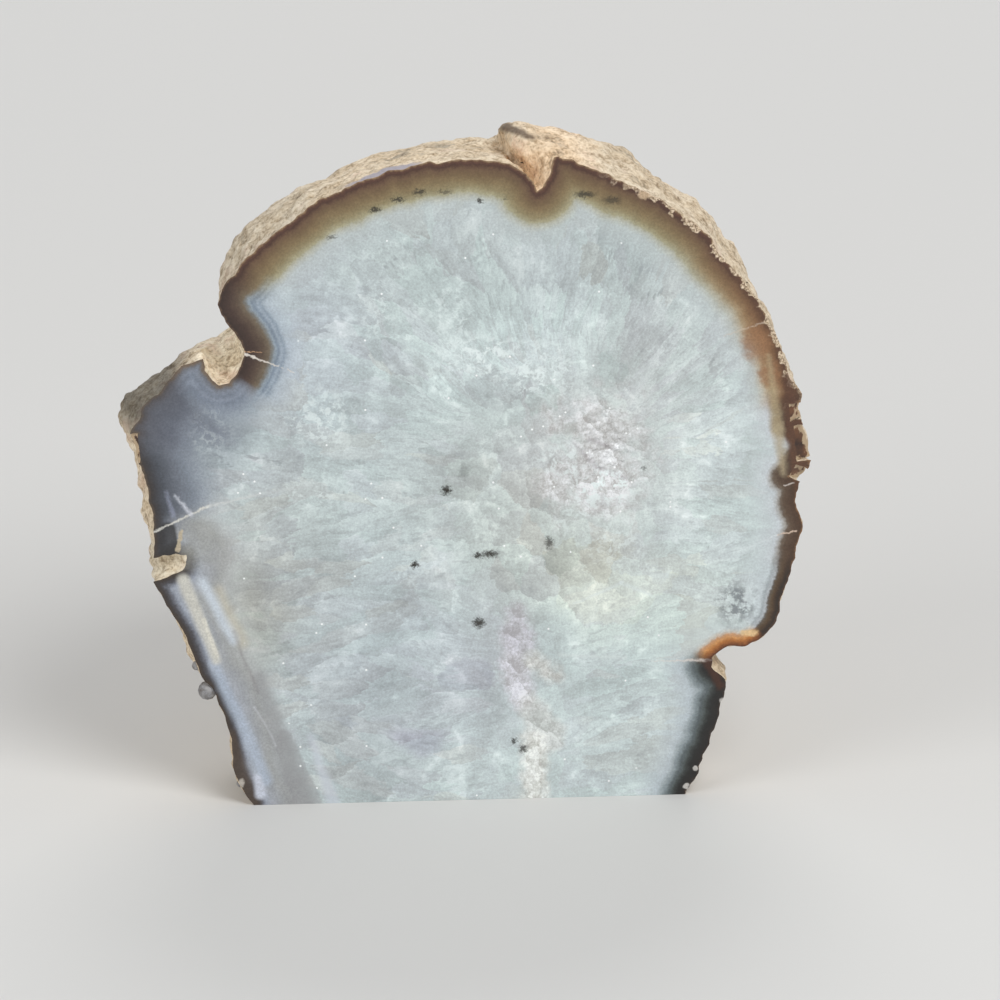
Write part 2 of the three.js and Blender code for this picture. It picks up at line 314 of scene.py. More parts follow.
# How far each point lies from the natural outline, in mm, in which direction from the middle of the
# face its nearest piece of outline is, in degrees from straight up, clockwise, and how far it is from
# the nearest vug, in mm.
TURN_MIDDLE = (2, 50)
rim = stone_mesh.attributes.new("rim", "FLOAT", "POINT")
turn = stone_mesh.attributes.new("turn", "FLOAT", "POINT")
from_vug = stone_mesh.attributes.new("from_vug", "FLOAT", "POINT")
in_druse = {index for face in stone_mesh.polygons if face.material_index == DRUSE for index in face.vertices}
for vert in stone_mesh.vertices:
    nearest, _, away = wall.find((vert.co.x, 0, vert.co.z))
    side = math.atan2(nearest.x / MM - TURN_MIDDLE[0], nearest.z / MM - TURN_MIDDLE[1])
    rim.data[vert.index].value = away / MM
    turn.data[vert.index].value = math.degrees(side)
    away = brink.find((vert.co.x, 0, vert.co.z))[2] / MM
    from_vug.data[vert.index].value = -away if vert.index in in_druse else away

# The turn jumps where two stretches of outline are equally near, so it is evened out inside the face.
TURN_EVENING = 40
TURN_SPAN = 15
beside_vert = {}
for edge in stone_mesh.edges:
    first, second = edge.vertices
    beside_vert.setdefault(first, []).append(second)
    beside_vert.setdefault(second, []).append(first)
evened = [
    vert.index for vert in stone_mesh.vertices
    if abs(vert.co.y - POLISH_Y) < FLATNESS and 1 < rim.data[vert.index].value < TURN_SPAN
]
turns = [item.value for item in turn.data]
for _ in range(TURN_EVENING):
    means = [sum(turns[other] for other in beside_vert[index]) / len(beside_vert[index]) for index in evened]
    for index, mean in zip(evened, means):
        turns[index] = mean
turn.data.foreach_set("value", turns)

# Tints that are stronger in some places: the middle of each as x and z, its reach, how much it
# feathers out, and the share of red, green and blue light that the quartz keeps there.
TINTS = [
    ("pinkish heart", (24, 66), (15, 17), 0.8, (1.03, 0.98, 0.97)),
    ("smoky shoulder", (-50, 76), (12, 9), 0.5, (0.44, 0.46, 0.5)),
    ("lilac behind the shoulder", (-47, 67), (10, 10), 0.6, (0.8, 0.79, 0.83)),
    ("lilac by the left crease", (-32, 88), (12, 14), 0.9, (0.94, 0.93, 0.98)),
    ("warm grey by the lower left", (-37, 40), (13, 20), 0.9, (0.94, 0.91, 0.9)),
    ("grey lower left", (-20, 26), (22, 20), 0.9, (0.935, 0.935, 0.97)),
    ("lilac left of the seam", (2, 24), (9, 12), 0.9, (1.02, 0.99, 1.01)),
    ("warm heart under the vug", (14, 46), (14, 10), 0.9, (1.07, 1.04, 1.0)),
    ("grey beside the vug", (2, 62), (12, 11), 0.8, (1.0, 0.98, 0.97)),
    ("pale right of the seam", (32, 38), (16, 8), 0.6, (1.12, 1.11, 1.07)),
    ("bright over the heart", (4, 84), (13, 5), 0.9, (1.14, 1.14, 1.14)),
    ("bright right of the vug", (44, 60), (14, 18), 0.9, (1.08, 1.08, 1.07)),
    ("bright above the vug", (16, 88), (9, 7), 0.9, (1.06, 1.07, 1.07)),
    ("bright left of the heart", (-18, 71), (12, 12), 0.9, (0.95, 0.95, 0.96)),
    ("greyer top", (0, 105), (30, 12), 0.9, (0.9, 0.9, 0.9)),
    ("brighter foot", (20, 10), (24, 14), 0.9, (1.07, 1.07, 1.07)),
    ("darker lower left foot", (-16, 12), (10, 12), 0.9, (0.9, 0.88, 0.89)),
    ("warmer upper right", (38, 88), (12, 10), 0.9, (0.98, 0.95, 0.95)),
    ("lilac crystal by the foot", (-8, 11.5), (4.5, 2.6), 0.4, (0.92, 0.88, 0.95)),
    ("warm grain beside the stripes", (-39.5, 37), (6, 12), 0.9, (0.83, 0.79, 0.73)),
]
# White sprays: the middle of each as x and z, its reach, and how much white there is.
SPRAYS = [
    ((-26.2, 74.6), (6.0, 4.5), 0.6), ((2.3, 85.6), (7.5, 3.4), 0.9), ((-15.4, 93.6), (4.5, 5.5), 0.45),
    ((-2.8, 92.4), (3.0, 6.5), 0.5), ((13.0, 82.8), (7.5, 5.0), 0.7), ((-27.1, 60.3), (6.5, 2.6), 0.5),
    ((42.2, 68.4), (6.0, 7.0), 0.35), ((27.8, 49.6), (5.0, 4.0), 0.5), ((-45.1, 73.1), (3.4, 5.0), 0.4),
    ((-8.0, 44.0), (5.0, 4.0), 0.35), ((48.9, 37.0), (4.4, 5.0), 0.6), ((20.0, 52.5), (6.0, 2.6), 0.4), ((40.0, 84.0), (8.0, 3.0), 0.3),
    ((25.6, 60.2), (6.5, 3.6), 0.95), ((17.0, 64.6), (3.6, 3.8), 0.7), ((21.5, 55.0), (4.0, 2.0), 0.5),
]
# Places where dark slits stand closest.
SLITS = [((28.5, 102.5), (7.0, 4.5), 1.4), ((34, 98), (4, 4), 1.4), ((-38, 66.5), (9, 2.6), 1.4), ((-14, 104), (6, 4), 1.2)]
PATCH_SWAY = ((9.0, 2.4), (3.0, 1.2))


def patch_share(x, z, middle, reach, feather):
    """How much of a point lies in a feathered ellipse on the face."""
    away = math.hypot((x - middle[0]) / reach[0], (z - middle[1]) / reach[1])
    return 1 - soft_step(away, 1 - feather, 1 + feather)


stone_mesh.attributes.new("tint", "FLOAT_COLOR", "POINT")
stone_mesh.attributes.new("spray", "FLOAT", "POINT")
stone_mesh.attributes.new("slits", "FLOAT", "POINT")
tint_data, spray_data, slits_data = (stone_mesh.attributes[name].data for name in ("tint", "spray", "slits"))
for vert in stone_mesh.vertices:
    at = vert.co / MM
    for size, amount in PATCH_SWAY:
        at += noise.noise_vector(vert.co / (size * MM)) * amount
    kept = [1.0, 1.0, 1.0]
    if vert.co.y < POLISH_Y + 3 * MM:
        for _, middle, reach, feather, patch_kept in TINTS:
            share = patch_share(at.x, at.z, middle, reach, feather)
            kept = [value * (1 + (most - 1) * share) for value, most in zip(kept, patch_kept)]
        spray_data[vert.index].value = max(
            patch_share(at.x, at.z, middle, reach, 0.6) * amount for middle, reach, amount in SPRAYS
        )
        slits_data[vert.index].value = max(
            patch_share(at.x, at.z, middle, reach, 0.5) * amount for middle, reach, amount in SLITS
        )
    tint_data[vert.index].color = (*kept, 1)

agate = bpy.data.objects.new("polished_agate", stone_mesh)
bpy.context.scene.collection.objects.link(agate)


def srgb(red, green, blue, cover=1):
    """A colour given as it looks on a screen, 0 to 255, as the linear values that shaders use."""
    def linear(value):
        share = value / 255
        return share / 12.92 if share <= 0.04045 else ((share + 0.055) / 1.055) ** 2.4
    return (linear(red), linear(green), linear(blue), cover)


def feed(tree, socket, value):
    """Links a socket to another one, or gives it a plain value."""
    if isinstance(value, bpy.types.NodeSocket):
        tree.links.new(value, socket)
    elif value is not None:
        socket.default_value = value


def math_step(tree, operation, first, second=None, third=None):
    """One Math node, and what comes out of it."""
    made = tree.nodes.new("ShaderNodeMath")
    made.operation = operation
    for socket, value in zip(made.inputs, (first, second, third)):
        feed(tree, socket, value)
    return made.outputs[0]


def vector_step(tree, operation, first, second=None, scale=None, out="Vector"):
    """One Vector Math node, and what comes out of it."""
    made = tree.nodes.new("ShaderNodeVectorMath")
    made.operation = operation
    feed(tree, made.inputs[0], first)
    feed(tree, made.inputs[1], second)
    feed(tree, made.inputs[3], scale)
    return made.outputs[out]


def ease(tree, value, low, high, start=0.0, end=1.0):
    """A soft step from start to end while the value goes from low to high."""
    made = tree.nodes.new("ShaderNodeMapRange")
    made.interpolation_type = "SMOOTHSTEP"
    for socket, number in zip(made.inputs, (value, low, high, start, end)):
        feed(tree, socket, number)
    return made.outputs[0]


flat_places = []


def noise_node(tree, place, size, detail, roughness):
    """A noise on the flat of its place whose lumps have this size in the units of the place."""
    made = tree.nodes.new("ShaderNodeTexNoise")
    made.noise_dimensions = "2D" if place in flat_places else "3D"
    feed(tree, made.inputs["Vector"], place)
    feed(tree, made.inputs["Scale"], 1 / size)
    feed(tree, made.inputs["Detail"], detail)
    feed(tree, made.inputs["Roughness"], roughness)
    return made.outputs


def cloud(tree, place, size, detail=3.0, roughness=0.55):
    """One number of a noise, from about 0.25 to 0.75."""
    return noise_node(tree, place, size, detail, roughness)["Fac"]


def jostled(tree, place, size, amount, detail=2.0, roughness=0.5):
    """The place, pushed about by a noise of this size by up to this amount to either side."""
    push = noise_node(tree, place, size, detail, roughness)["Color"]
    push = vector_step(tree, "SUBTRACT", push, (0.5, 0.5, 0.5))
    pushed = vector_step(tree, "ADD", place, vector_step(tree, "SCALE", push, scale=amount))
    if place in flat_places:
        flat_places.append(pushed)
    return pushed


def cells(tree, place, size, feature="F1"):
    """A pattern of cells of this size, as the outputs Distance and Color."""
    made = tree.nodes.new("ShaderNodeTexVoronoi")
    made.voronoi_dimensions = "2D" if place in flat_places else "3D"
    made.feature = feature
    feed(tree, made.inputs["Vector"], place)
    feed(tree, made.inputs["Scale"], 1 / size)
    return made.outputs


def split(tree, vector):
    """The three numbers of a vector or a colour."""
    made = tree.nodes.new("ShaderNodeSeparateXYZ")
    feed(tree, made.inputs[0], vector)
    return made.outputs


def joined(tree, first, second):
    """A flat place made of two numbers."""
    made = tree.nodes.new("ShaderNodeCombineXYZ")
    feed(tree, made.inputs["X"], first)
    feed(tree, made.inputs["Y"], second)
    flat_places.append(made.outputs[0])
    return made.outputs[0]


def blend_number(tree, share, first, second):
    """A number between two others."""
    made = tree.nodes.new("ShaderNodeMix")
    feed(tree, made.inputs[0], share)
    feed(tree, made.inputs[2], first)
    feed(tree, made.inputs[3], second)
    return made.outputs[0]


def tint(tree, share, under, over, way="MIX"):
    """One colour laid over another with this share."""
    made = tree.nodes.new("ShaderNodeMix")
    made.data_type = "RGBA"
    made.blend_type = way
    feed(tree, made.inputs[0], share)
    feed(tree, made.inputs[6], under)
    feed(tree, made.inputs[7], over)
    return made.outputs[2]


def bands(tree, value, stops):
    """A colour ramp from stops of a value from 0 to 1 and a colour with its cover."""
    made = tree.nodes.new("ShaderNodeValToRGB")
    feed(tree, made.inputs["Fac"], value)
    points = made.color_ramp.elements
    while len(points) < len(stops):
        points.new(0.5)
    for point, (at, colour) in zip(points, stops):
        point.position = at
        point.color = colour
    return made.outputs["Color"], made.outputs["Alpha"]


def new_group(name, takes, gives):
    """An empty shader node group with its inputs and outputs, and the tree's two ends."""
    group = bpy.data.node_groups.new(name, "ShaderNodeTree")
    for label, kind in takes:
        group.interface.new_socket(label, in_out="INPUT", socket_type=kind)
    for label, kind in gives:
        group.interface.new_socket(label, in_out="OUTPUT", socket_type=kind)
    start = group.nodes.new("NodeGroupInput")
    end = group.nodes.new("NodeGroupOutput")
    return group, start.outputs, end.inputs


def place_group(tree, group, values):
    """One use of a node group in a material, with its own values, and its outputs."""
    made = tree.nodes.new("ShaderNodeGroup")
    made.node_tree = group
    for label, value in values.items():
        feed(tree, made.inputs[label], value)
    return made.outputs


def new_surface(name, roughness):
    """A material with one Principled shader, its tree, and the place on the stone in mm."""
    material = bpy.data.materials.new(name)
    material.use_nodes = True
    tree = material.node_tree
    shader = tree.nodes["Principled BSDF"]
    shader.inputs["Roughness"].default_value = roughness
    where = tree.nodes.new("ShaderNodeTexCoord").outputs["Object"]
    in_mm = tree.nodes.new("ShaderNodeMapping")
    in_mm.inputs["Scale"].default_value = (1 / MM, 1 / MM, 1 / MM)
    tree.links.new(where, in_mm.inputs["Vector"])
    return material, tree, shader, in_mm.outputs["Vector"]


def attribute(tree, name, output="Fac"):
    """A number or a colour kept on the stone's surface."""
    made = tree.nodes.new("ShaderNodeAttribute")
    made.attribute_name = name
    return made.outputs[output]


# A healed crack, a fan of white fibres or a stripe of the banding: a straight stroke on the face that
# runs from a start to an end, with a width at each, and soft edges. Everything is in mm.
stroke_group, took, gave = new_group(
    "stroke on the face",
    [
        ("Place", "NodeSocketVector"), ("Start", "NodeSocketVector"), ("End", "NodeSocketVector"),
        ("Start width", "NodeSocketFloat"), ("End width", "NodeSocketFloat"),
        ("Softness", "NodeSocketFloat"), ("Amount", "NodeSocketFloat"),
    ],
    [("Mask", "NodeSocketFloat")],
)
tree = stroke_group
run = vector_step(tree, "SUBTRACT", took["End"], took["Start"])
run_squared = vector_step(tree, "DOT_PRODUCT", run, run, out="Value")
step = vector_step(tree, "SCALE", run, scale=math_step(tree, "DIVIDE", 1.0, run_squared))
half_start = math_step(tree, "MULTIPLY", took["Start width"], 0.5)
half_growth = math_step(tree, "SUBTRACT", math_step(tree, "MULTIPLY", took["End width"], 0.5), half_start)
soft_inside = math_step(tree, "MULTIPLY", took["Softness"], -0.5)
soft_outside = math_step(tree, "MULTIPLY", took["Softness"], 0.5)
from_start = vector_step(tree, "SUBTRACT", took["Place"], took["Start"])
along = vector_step(tree, "DOT_PRODUCT", from_start, step, out="Value")
within_run = tree.nodes.new("ShaderNodeClamp")
feed(tree, within_run.inputs["Value"], along)
along = within_run.outputs[0]
on_line = vector_step(tree, "SCALE", run, scale=along)
off_line = vector_step(tree, "DISTANCE", from_start, on_line, out="Value")
half_width = math_step(tree, "MULTIPLY_ADD", half_growth, along, half_start)
past_edge = math_step(tree, "SUBTRACT", off_line, half_width)
feed(tree, gave["Mask"], ease(tree, past_edge, soft_inside, soft_outside, took["Amount"], 0.0))

# A soft patch of another tone inside the quartz: an ellipse on the face with a feathered edge.
patch_group, took, gave = new_group(
    "patch in the quartz",
    [
        ("Place", "NodeSocketVector"), ("Middle", "NodeSocketVector"), ("Reach", "NodeSocketVector"),
        ("Feather", "NodeSocketFloat"), ("Amount", "NodeSocketFloat"),
    ],
    [("Mask", "NodeSocketFloat")],
)
tree = patch_group
one_over_reach = vector_step(tree, "DIVIDE", (1.0, 1.0, 1.0), took["Reach"])
scaled_middle = vector_step(tree, "MULTIPLY", took["Middle"], one_over_reach)
scaled_place = vector_step(tree, "MULTIPLY", took["Place"], one_over_reach)
away = vector_step(tree, "DISTANCE", scaled_place, scaled_middle, out="Value")
inner = math_step(tree, "SUBTRACT", 1.0, took["Feather"])
outer = math_step(tree, "ADD", 1.0, took["Feather"])
feed(tree, gave["Mask"], ease(tree, away, inner, outer, took["Amount"], 0.0))


def stroke(tree, place, start, end, widths, softness, amount=1.0):
    """How much of a stroke from start to end, both as x and z, lies over a place."""
    return place_group(tree, stroke_group, {
        "Place": place, "Start": (*start, 0), "End": (*end, 0), "Start width": widths[0],
        "End width": widths[1], "Softness": softness, "Amount": amount,
    })["Mask"]


def patch(tree, place, middle, reach, feather, amount=1.0):
    """How much of a patch round a middle, given as x and z, lies over a place."""
    return place_group(tree, patch_group, {
        "Place": place, "Middle": (*middle, 0), "Reach": (*reach, 1), "Feather": feather,
        "Amount": amount,
    })["Mask"]


# The way the quartz grew: inwards from the rim, to the vug and to the seam that runs down from it.
# Along counts mm round the rim and Out counts mm out from where the walls met.
growth_group, took, gave = new_group(
    "growth of the quartz",
    [("Place", "NodeSocketVector")],
    [("Along", "NodeSocketFloat"), ("Out", "NodeSocketFloat")],
)
tree = growth_group
VUG_Z = 66
SEAM_X = (11.5, 0.1)
GROWTH_RADIUS = 36
QUARTER = math.pi / 2
across, up, _ = split(tree, took["Place"])
low = math_step(tree, "MINIMUM", up, float(VUG_Z))
seam_x = math_step(tree, "MULTIPLY_ADD", low, SEAM_X[1], SEAM_X[0])
beside = math_step(tree, "SUBTRACT", across, seam_x)
above = math_step(tree, "MAXIMUM", math_step(tree, "SUBTRACT", up, float(VUG_Z)), 0.0)
below = math_step(tree, "MAXIMUM", math_step(tree, "SUBTRACT", float(VUG_Z), up), 0.0)
squares = math_step(tree, "MULTIPLY", above, above)
out = math_step(tree, "SQRT", math_step(tree, "MULTIPLY_ADD", beside, beside, squares))
angle = math_step(tree, "ARCTAN2", beside, above)
side = math_step(tree, "SIGN", beside)
down = math_step(tree, "MULTIPLY", side, below)
feed(tree, gave["Along"], math_step(tree, "MULTIPLY_ADD", angle, float(GROWTH_RADIUS), down))
feed(tree, gave["Out"], out)

# The polished face. White to grey quartz that grew in from the rim as fans of fine fibres and got
# coarser towards the middle, inside a rim of chalcedony bands, from dark brown to bluish white.
quartz, tree, shader, solid_place = new_surface("polished quartz", 0.3)
from_wall = attribute(tree, "rim")
around = attribute(tree, "turn")
beyond_vug = attribute(tree, "from_vug")
stone_x, _, stone_z = split(tree, solid_place)
place = joined(tree, stone_x, stone_z)
growth = place_group(tree, growth_group, {"Place": jostled(tree, place, 12.0, 2.4, 1.0)})

GREY_QUARTZ = srgb(150, 157, 160)
DULL_QUARTZ = srgb(179, 188, 188)
MILKY = srgb(193, 204, 204)
WHITE_QUARTZ = srgb(207, 219, 218)
BRIGHT_QUARTZ = srgb(233, 243, 242)


def weighed(tree, parts, start=0.5):
    """The sum of noises, each counted from its middle and times its own weight."""
    total = start - sum(weight * 0.5 for _, weight in parts)
    for value, weight in parts:
        total = math_step(tree, "MULTIPLY_ADD", value, weight, total)
    return total


def drawn_out(tree, width, length):
    """The place in the growth of the quartz, in fibres this wide and this long, in mm."""
    wide = math_step(tree, "DIVIDE", leaning, width)
    return joined(tree, wide, math_step(tree, "DIVIDE", growth["Out"], length))


# The fibres stand in fans. Each fan leans its own way and has its own shade.
FAN_WIDTH = 8.0
FAN_LENGTH = 24.0
leaning = growth["Along"]
fans = jostled(tree, drawn_out(tree, FAN_WIDTH, FAN_LENGTH), 0.3, 0.22, 2.0, 0.6)
fan_x, fan_y, _ = split(tree, cells(tree, fans, 1.0)["Color"])
fan_lean = math_step(tree, "MULTIPLY_ADD", fan_x, 0.7, -0.35)
leaning = math_step(tree, "MULTIPLY_ADD", fan_lean, growth["Out"], growth["Along"])


def plates(tree, place, size):
    """Crystal plates of this size: a shade for each, and how far across it a point lies, which the tones use as
    painted light across the plate.
    """
    plate = cells(tree, place, size)
    shade, turned, _ = split(tree, plate["Color"])
    within = vector_step(tree, "SUBTRACT", place, plate["Position"])
    within_x, within_y, _ = split(tree, within)
    # Painted light: the plate runs lighter towards +x and +y of its place, which on the blocks is the upper right
    # of the face.
    painted_light_across_plate = math_step(tree, "DIVIDE", math_step(tree, "ADD", within_x, within_y), 2.0 * size)
    return shade, turned, math_step(tree, "ADD", painted_light_across_plate, 0.5)


long_flakes = jostled(tree, drawn_out(tree, 3.2, 8.0), 0.4, 0.6, 2.0, 0.65)
flake, flake_hue, flake_painted_light = plates(tree, long_flakes, 1.0)
rough_place = jostled(tree, place, 2.6, 2.6, 3.0, 0.65)
block, block_hue, block_painted_light = plates(tree, rough_place, 5.6)
chip_of_quartz, _, chip_painted_light = plates(tree, rough_place, 2.0)
streaks = cloud(tree, drawn_out(tree, 0.5, 4.0), 1.0, 2.0, 0.7)
feathers = cloud(tree, drawn_out(tree, 1.9, 3.8), 1.0, 3.0, 0.8)
mottling = cloud(tree, place, 2.4, 3.0, 0.78)
dust = cloud(tree, place, 0.42, 1.0, 0.8)
soft_clouds = cloud(tree, place, 17.0, 1.0, 0.5)

# Coarse blocks take over from the fibres towards the middle.
low_down = ease(tree, stone_z, 44.0, 26.0, 0.0, 13.0)
coarse = ease(tree, math_step(tree, "ADD", growth["Out"], low_down), 10.0, 27.0, 1.0, 0.0)
# Fibres and blocks are painted lighter towards one side of each plate and darker towards the other: painted light
# across the crystals.
fibre_tone = weighed(tree, [
    (flake, 0.06), (flake_painted_light, 0.1), (streaks, 0.12), (feathers, 0.26), (fan_y, 0.04),
])
block_tone = weighed(tree, [
    (block, 0.08), (block_painted_light, 0.13), (chip_of_quartz, 0.05), (chip_painted_light, 0.07), (mottling, 0.17),
])
tone = blend_number(tree, coarse, fibre_tone, block_tone)
tone = weighed(tree, [(tone, 1.0), (soft_clouds, 0.16), (dust, 0.2)])

# White feathers along some of the borders between the crystals, and jagged white patches.
borders = cells(tree, rough_place, 6.5, "DISTANCE_TO_EDGE")["Distance"]
lit = cloud(tree, place, 9.0, 3.0, 0.75)
border = math_step(tree, "MULTIPLY", ease(tree, borders, 0.14, 0.0), ease(tree, lit, 0.48, 0.64))
border = math_step(tree, "MULTIPLY", border, ease(tree, mottling, 0.4, 0.58))
tone = math_step(tree, "MULTIPLY_ADD", border, 0.1, tone)
tone = math_step(tree, "MULTIPLY_ADD", ease(tree, lit, 0.52, 0.66), 0.06, tone)
tone = math_step(tree, "MULTIPLY_ADD", ease(tree, lit, 0.46, 0.34), -0.04, tone)
calm = ease(tree, from_wall, 5.0, 12.0, 0.5, 1.0)
tone = math_step(tree, "MULTIPLY_ADD", math_step(tree, "SUBTRACT", tone, 0.5), calm, 0.5)
quartz_colour, _ = bands(tree, tone, [
    (0.26, GREY_QUARTZ), (0.42, DULL_QUARTZ), (0.5, MILKY), (0.58, WHITE_QUARTZ), (0.76, BRIGHT_QUARTZ),
])

# Each crystal leans to its own hue, bluish green, lilac or a warmer grey.
hue = blend_number(tree, coarse, flake_hue, block_hue)
hue_tints, _ = bands(tree, hue, [
    (0.1, (0.975, 0.998, 0.99, 1)), (0.45, (1.0, 1.0, 1.0, 1)), (0.7, (1.0, 0.98, 1.005, 1)),
    (0.95, (1.03, 0.99, 0.96, 1)),
])
quartz_colour = tint(tree, 0.8, quartz_colour, hue_tints, "MULTIPLY")

# Short dark slits between the fibres, in loose groups.
slit_noise = cloud(tree, drawn_out(tree, 1.3, 3.6), 1.0, 2.0, 0.7)
slit_groups = ease(tree, soft_clouds, 0.48, 0.6, 0.0, 0.7)
slit_groups = math_step(tree, "MAXIMUM", slit_groups, attribute(tree, "slits"))
slits = math_step(tree, "MULTIPLY", ease(tree, slit_noise, 0.4, 0.28), slit_groups)
slits = math_step(tree, "MULTIPLY", slits, ease(tree, from_wall, 7.0, 13.0))
quartz_colour = tint(tree, math_step(tree, "MULTIPLY", slits, 0.45), quartz_colour, srgb(150, 157, 160))

quartz_colour = tint(tree, 1.0, quartz_colour, attribute(tree, "tint", "Color"), "MULTIPLY")

# Single crystals that stand out in the middle: the middle of each, its reach, the share of light it keeps, and how
# bright the painted highlight on its upper right border is. Their outlines follow small angular pieces.
CRYSTALS = [
    ("grey crystal over the heart", (6.4, 79.0), (6.2, 3.4), (0.87, 0.86, 0.87), 0.8),
    ("clear crystal on its right", (14.5, 77.0), (3.6, 2.8), (0.95, 1.0, 0.98), 0.5),
    ("clear crystal high on the right", (26, 82), (3.8, 3.0), (0.9, 0.93, 0.92), 0.2),
    ("grey crystals on the left", (-16, 87), (5.0, 3.0), (0.93, 0.92, 0.93), 0.2),
    ("grey crystals lower on the left", (-10.5, 82.5), (4.6, 2.6), (0.9, 0.89, 0.89), 0.15),
    ("grey crystal in the heart", (0.5, 62.5), (5.0, 4.2), (0.9, 0.89, 0.88), 0.2),
    ("smooth pale crystal", (31, 37.5), (15, 5.0), (1.04, 1.03, 1.0), 0.3),
    ("warm grey crystal under the vug", (21, 45.5), (7, 4.0), (0.94, 0.92, 0.88), 0.15),
    ("grey crystal on the left", (-7, 40), (5.5, 4.5), (0.93, 0.92, 0.92), 0.2),
    ("grey crystal by the seam", (0, 24.5), (5.5, 2.6), (0.91, 0.9, 0.93), 0.2),
]
PAINTED_HIGHLIGHT_FROM = 0.25
BORDER_WIDTH = 0.7
middle_colour = quartz_colour
pieces = cells(tree, rough_place, 2.4)["Position"]
part_way = vector_step(tree, "SCALE", vector_step(tree, "SUBTRACT", pieces, rough_place), scale=0.8)
crystal_place = vector_step(tree, "ADD", rough_place, part_way)
highlight_breakup = ease(tree, mottling, 0.42, 0.6)
for _, (x, z), reach, kept, highlight_amount in CRYSTALS:
    crystal = patch(tree, crystal_place, (x, z), reach, 0.06)
    # Painted highlight: a white crescent along the crystal's upper right border, as if lit from there.
    if highlight_amount > PAINTED_HIGHLIGHT_FROM:
        beyond = patch(tree, crystal_place, (x + BORDER_WIDTH, z + BORDER_WIDTH), reach, 0.06, highlight_amount)
        border = math_step(tree, "MAXIMUM", math_step(tree, "SUBTRACT", beyond, crystal), 0.0)
        border = math_step(tree, "MULTIPLY", border, highlight_breakup)
        middle_colour = tint(tree, border, middle_colour, BRIGHT_QUARTZ)
    middle_colour = tint(tree, crystal, middle_colour, (*kept, 1), "MULTIPLY")

# The sugary quartz in and round the vug, and down the seam where the walls met: pinkish and white in
# the vug, lilac at the top of the seam, cream at its foot.
SEAM = [
    ("lilac grains", (9.0, 36.0), (9.6, 30.5), 3.5, 6.5, (0.86, 0.83, 0.9), 0.75),
    ("lilac bead", (8.6, 26.0), (10.4, 19.0), 5.0, 4.5, (0.96, 0.94, 1.0), 0.8),
    ("cream bead", (12.5, 26.5), (16.5, 23.5), 3.5, 2.5, (1.03, 1.01, 0.96), 0.7),
    ("sandy grains", (11.8, 18.0), (14.6, 12.0), 4.5, 7.0, (0.9, 0.9, 0.86), 0.65),
    ("white grains", (12.4, 11.0), (12.6, -1.0), 4.5, 4.5, (1.08, 1.09, 1.03), 0.9),
]
# Painted shade in the crevices of the vug, between its white crusts.
SHADED_CREVICES = [((19.7, 67.9), (23.9, 63.1)), ((23.9, 63.1), (28.6, 61.2)), ((22.4, 68.6), (26.4, 66.9))]
sugar_noise = math_step(tree, "MULTIPLY_ADD", lit, 22.0, -11.0)
sugar = ease(tree, math_step(tree, "ADD", beyond_vug, sugar_noise), 4.0, -4.0)
in_heart = patch(tree, rough_place, (24, 65), (17, 19), 0.3)
sugar = math_step(tree, "MULTIPLY", sugar, in_heart)
grain_place = jostled(tree, place, 0.9, 0.7)
grains = cells(tree, grain_place, 1.1)
grain_x, grain_y, _ = split(tree, grains["Color"])
clump, _, clump_painted_light = plates(tree, grain_place, 3.2)
# Each grain is painted lighter in its middle and darker towards its edges: painted shading of rounded grains, over
# their own tones.
sugar_tone = weighed(tree, [
    (grain_x, 0.24), (clump, 0.3), (clump_painted_light, 0.3), (dust, 0.5), (grains["Distance"], -0.25),
])
sugar_colour, _ = bands(tree, sugar_tone, [
    (0.28, srgb(180, 177, 175)), (0.42, srgb(204, 204, 203)), (0.55, srgb(217, 217, 217)),
    (0.66, srgb(232, 233, 235)), (0.8, srgb(250, 251, 252)),
])
middle_colour = tint(tree, math_step(tree, "MULTIPLY", sugar, 0.85), middle_colour, sugar_colour)
for _, start, end, start_width, end_width, kept, amount in SEAM:
    band = stroke(tree, rough_place, start, end, (start_width, end_width), 2.4, amount)
    seam_colour = tint(tree, 1.0, sugar_colour, (*kept, 1), "MULTIPLY")
    middle_colour = tint(tree, band, middle_colour, seam_colour)
for start, end in SHADED_CREVICES:
    crevice_shade = stroke(tree, grain_place, start, end, (0.6, 0.8), 0.9, 0.5)
    middle_colour = tint(tree, crevice_shade, middle_colour, srgb(150, 143, 146))

# White sprays, where the growth is broken up and lights up.
spray_noise = cloud(tree, rough_place, 1.7, 2.0, 0.8)
sprays = math_step(tree, "MULTIPLY", attribute(tree, "spray"), ease(tree, spray_noise, 0.46, 0.66))
middle_colour = tint(tree, sprays, middle_colour, BRIGHT_QUARTZ)
quartz_colour = tint(tree, sprays, quartz_colour, BRIGHT_QUARTZ)

# White edges of the big pale crystal.
PALE_EDGES = [
    ("upper edge", (19.7, 37.4), (28.2, 41.2), 0.3, 0.6, 0.7, srgb(226, 236, 235), 0.5),
    ("right edge", (28.2, 41.2), (40.4, 35.5), 0.6, 0.3, 0.8, srgb(226, 236, 235), 0.5),
    ("lower edge", (17.0, 27.6), (34.0, 26.4), 0.4, 0.3, 0.8, srgb(222, 230, 228), 0.5),
]


def drawn(tree, lines, place, colour):
    """Strokes laid over a colour, each with its start, end, two widths, softness, colour and amount."""
    for _, start, end, start_width, end_width, softness, line_colour, amount in lines:
        line = stroke(tree, place, start, end, (start_width, end_width), softness, amount)
        colour = tint(tree, line, colour, line_colour)
    return colour


middle_colour = drawn(tree, PALE_EDGES, grain_place, middle_colour)

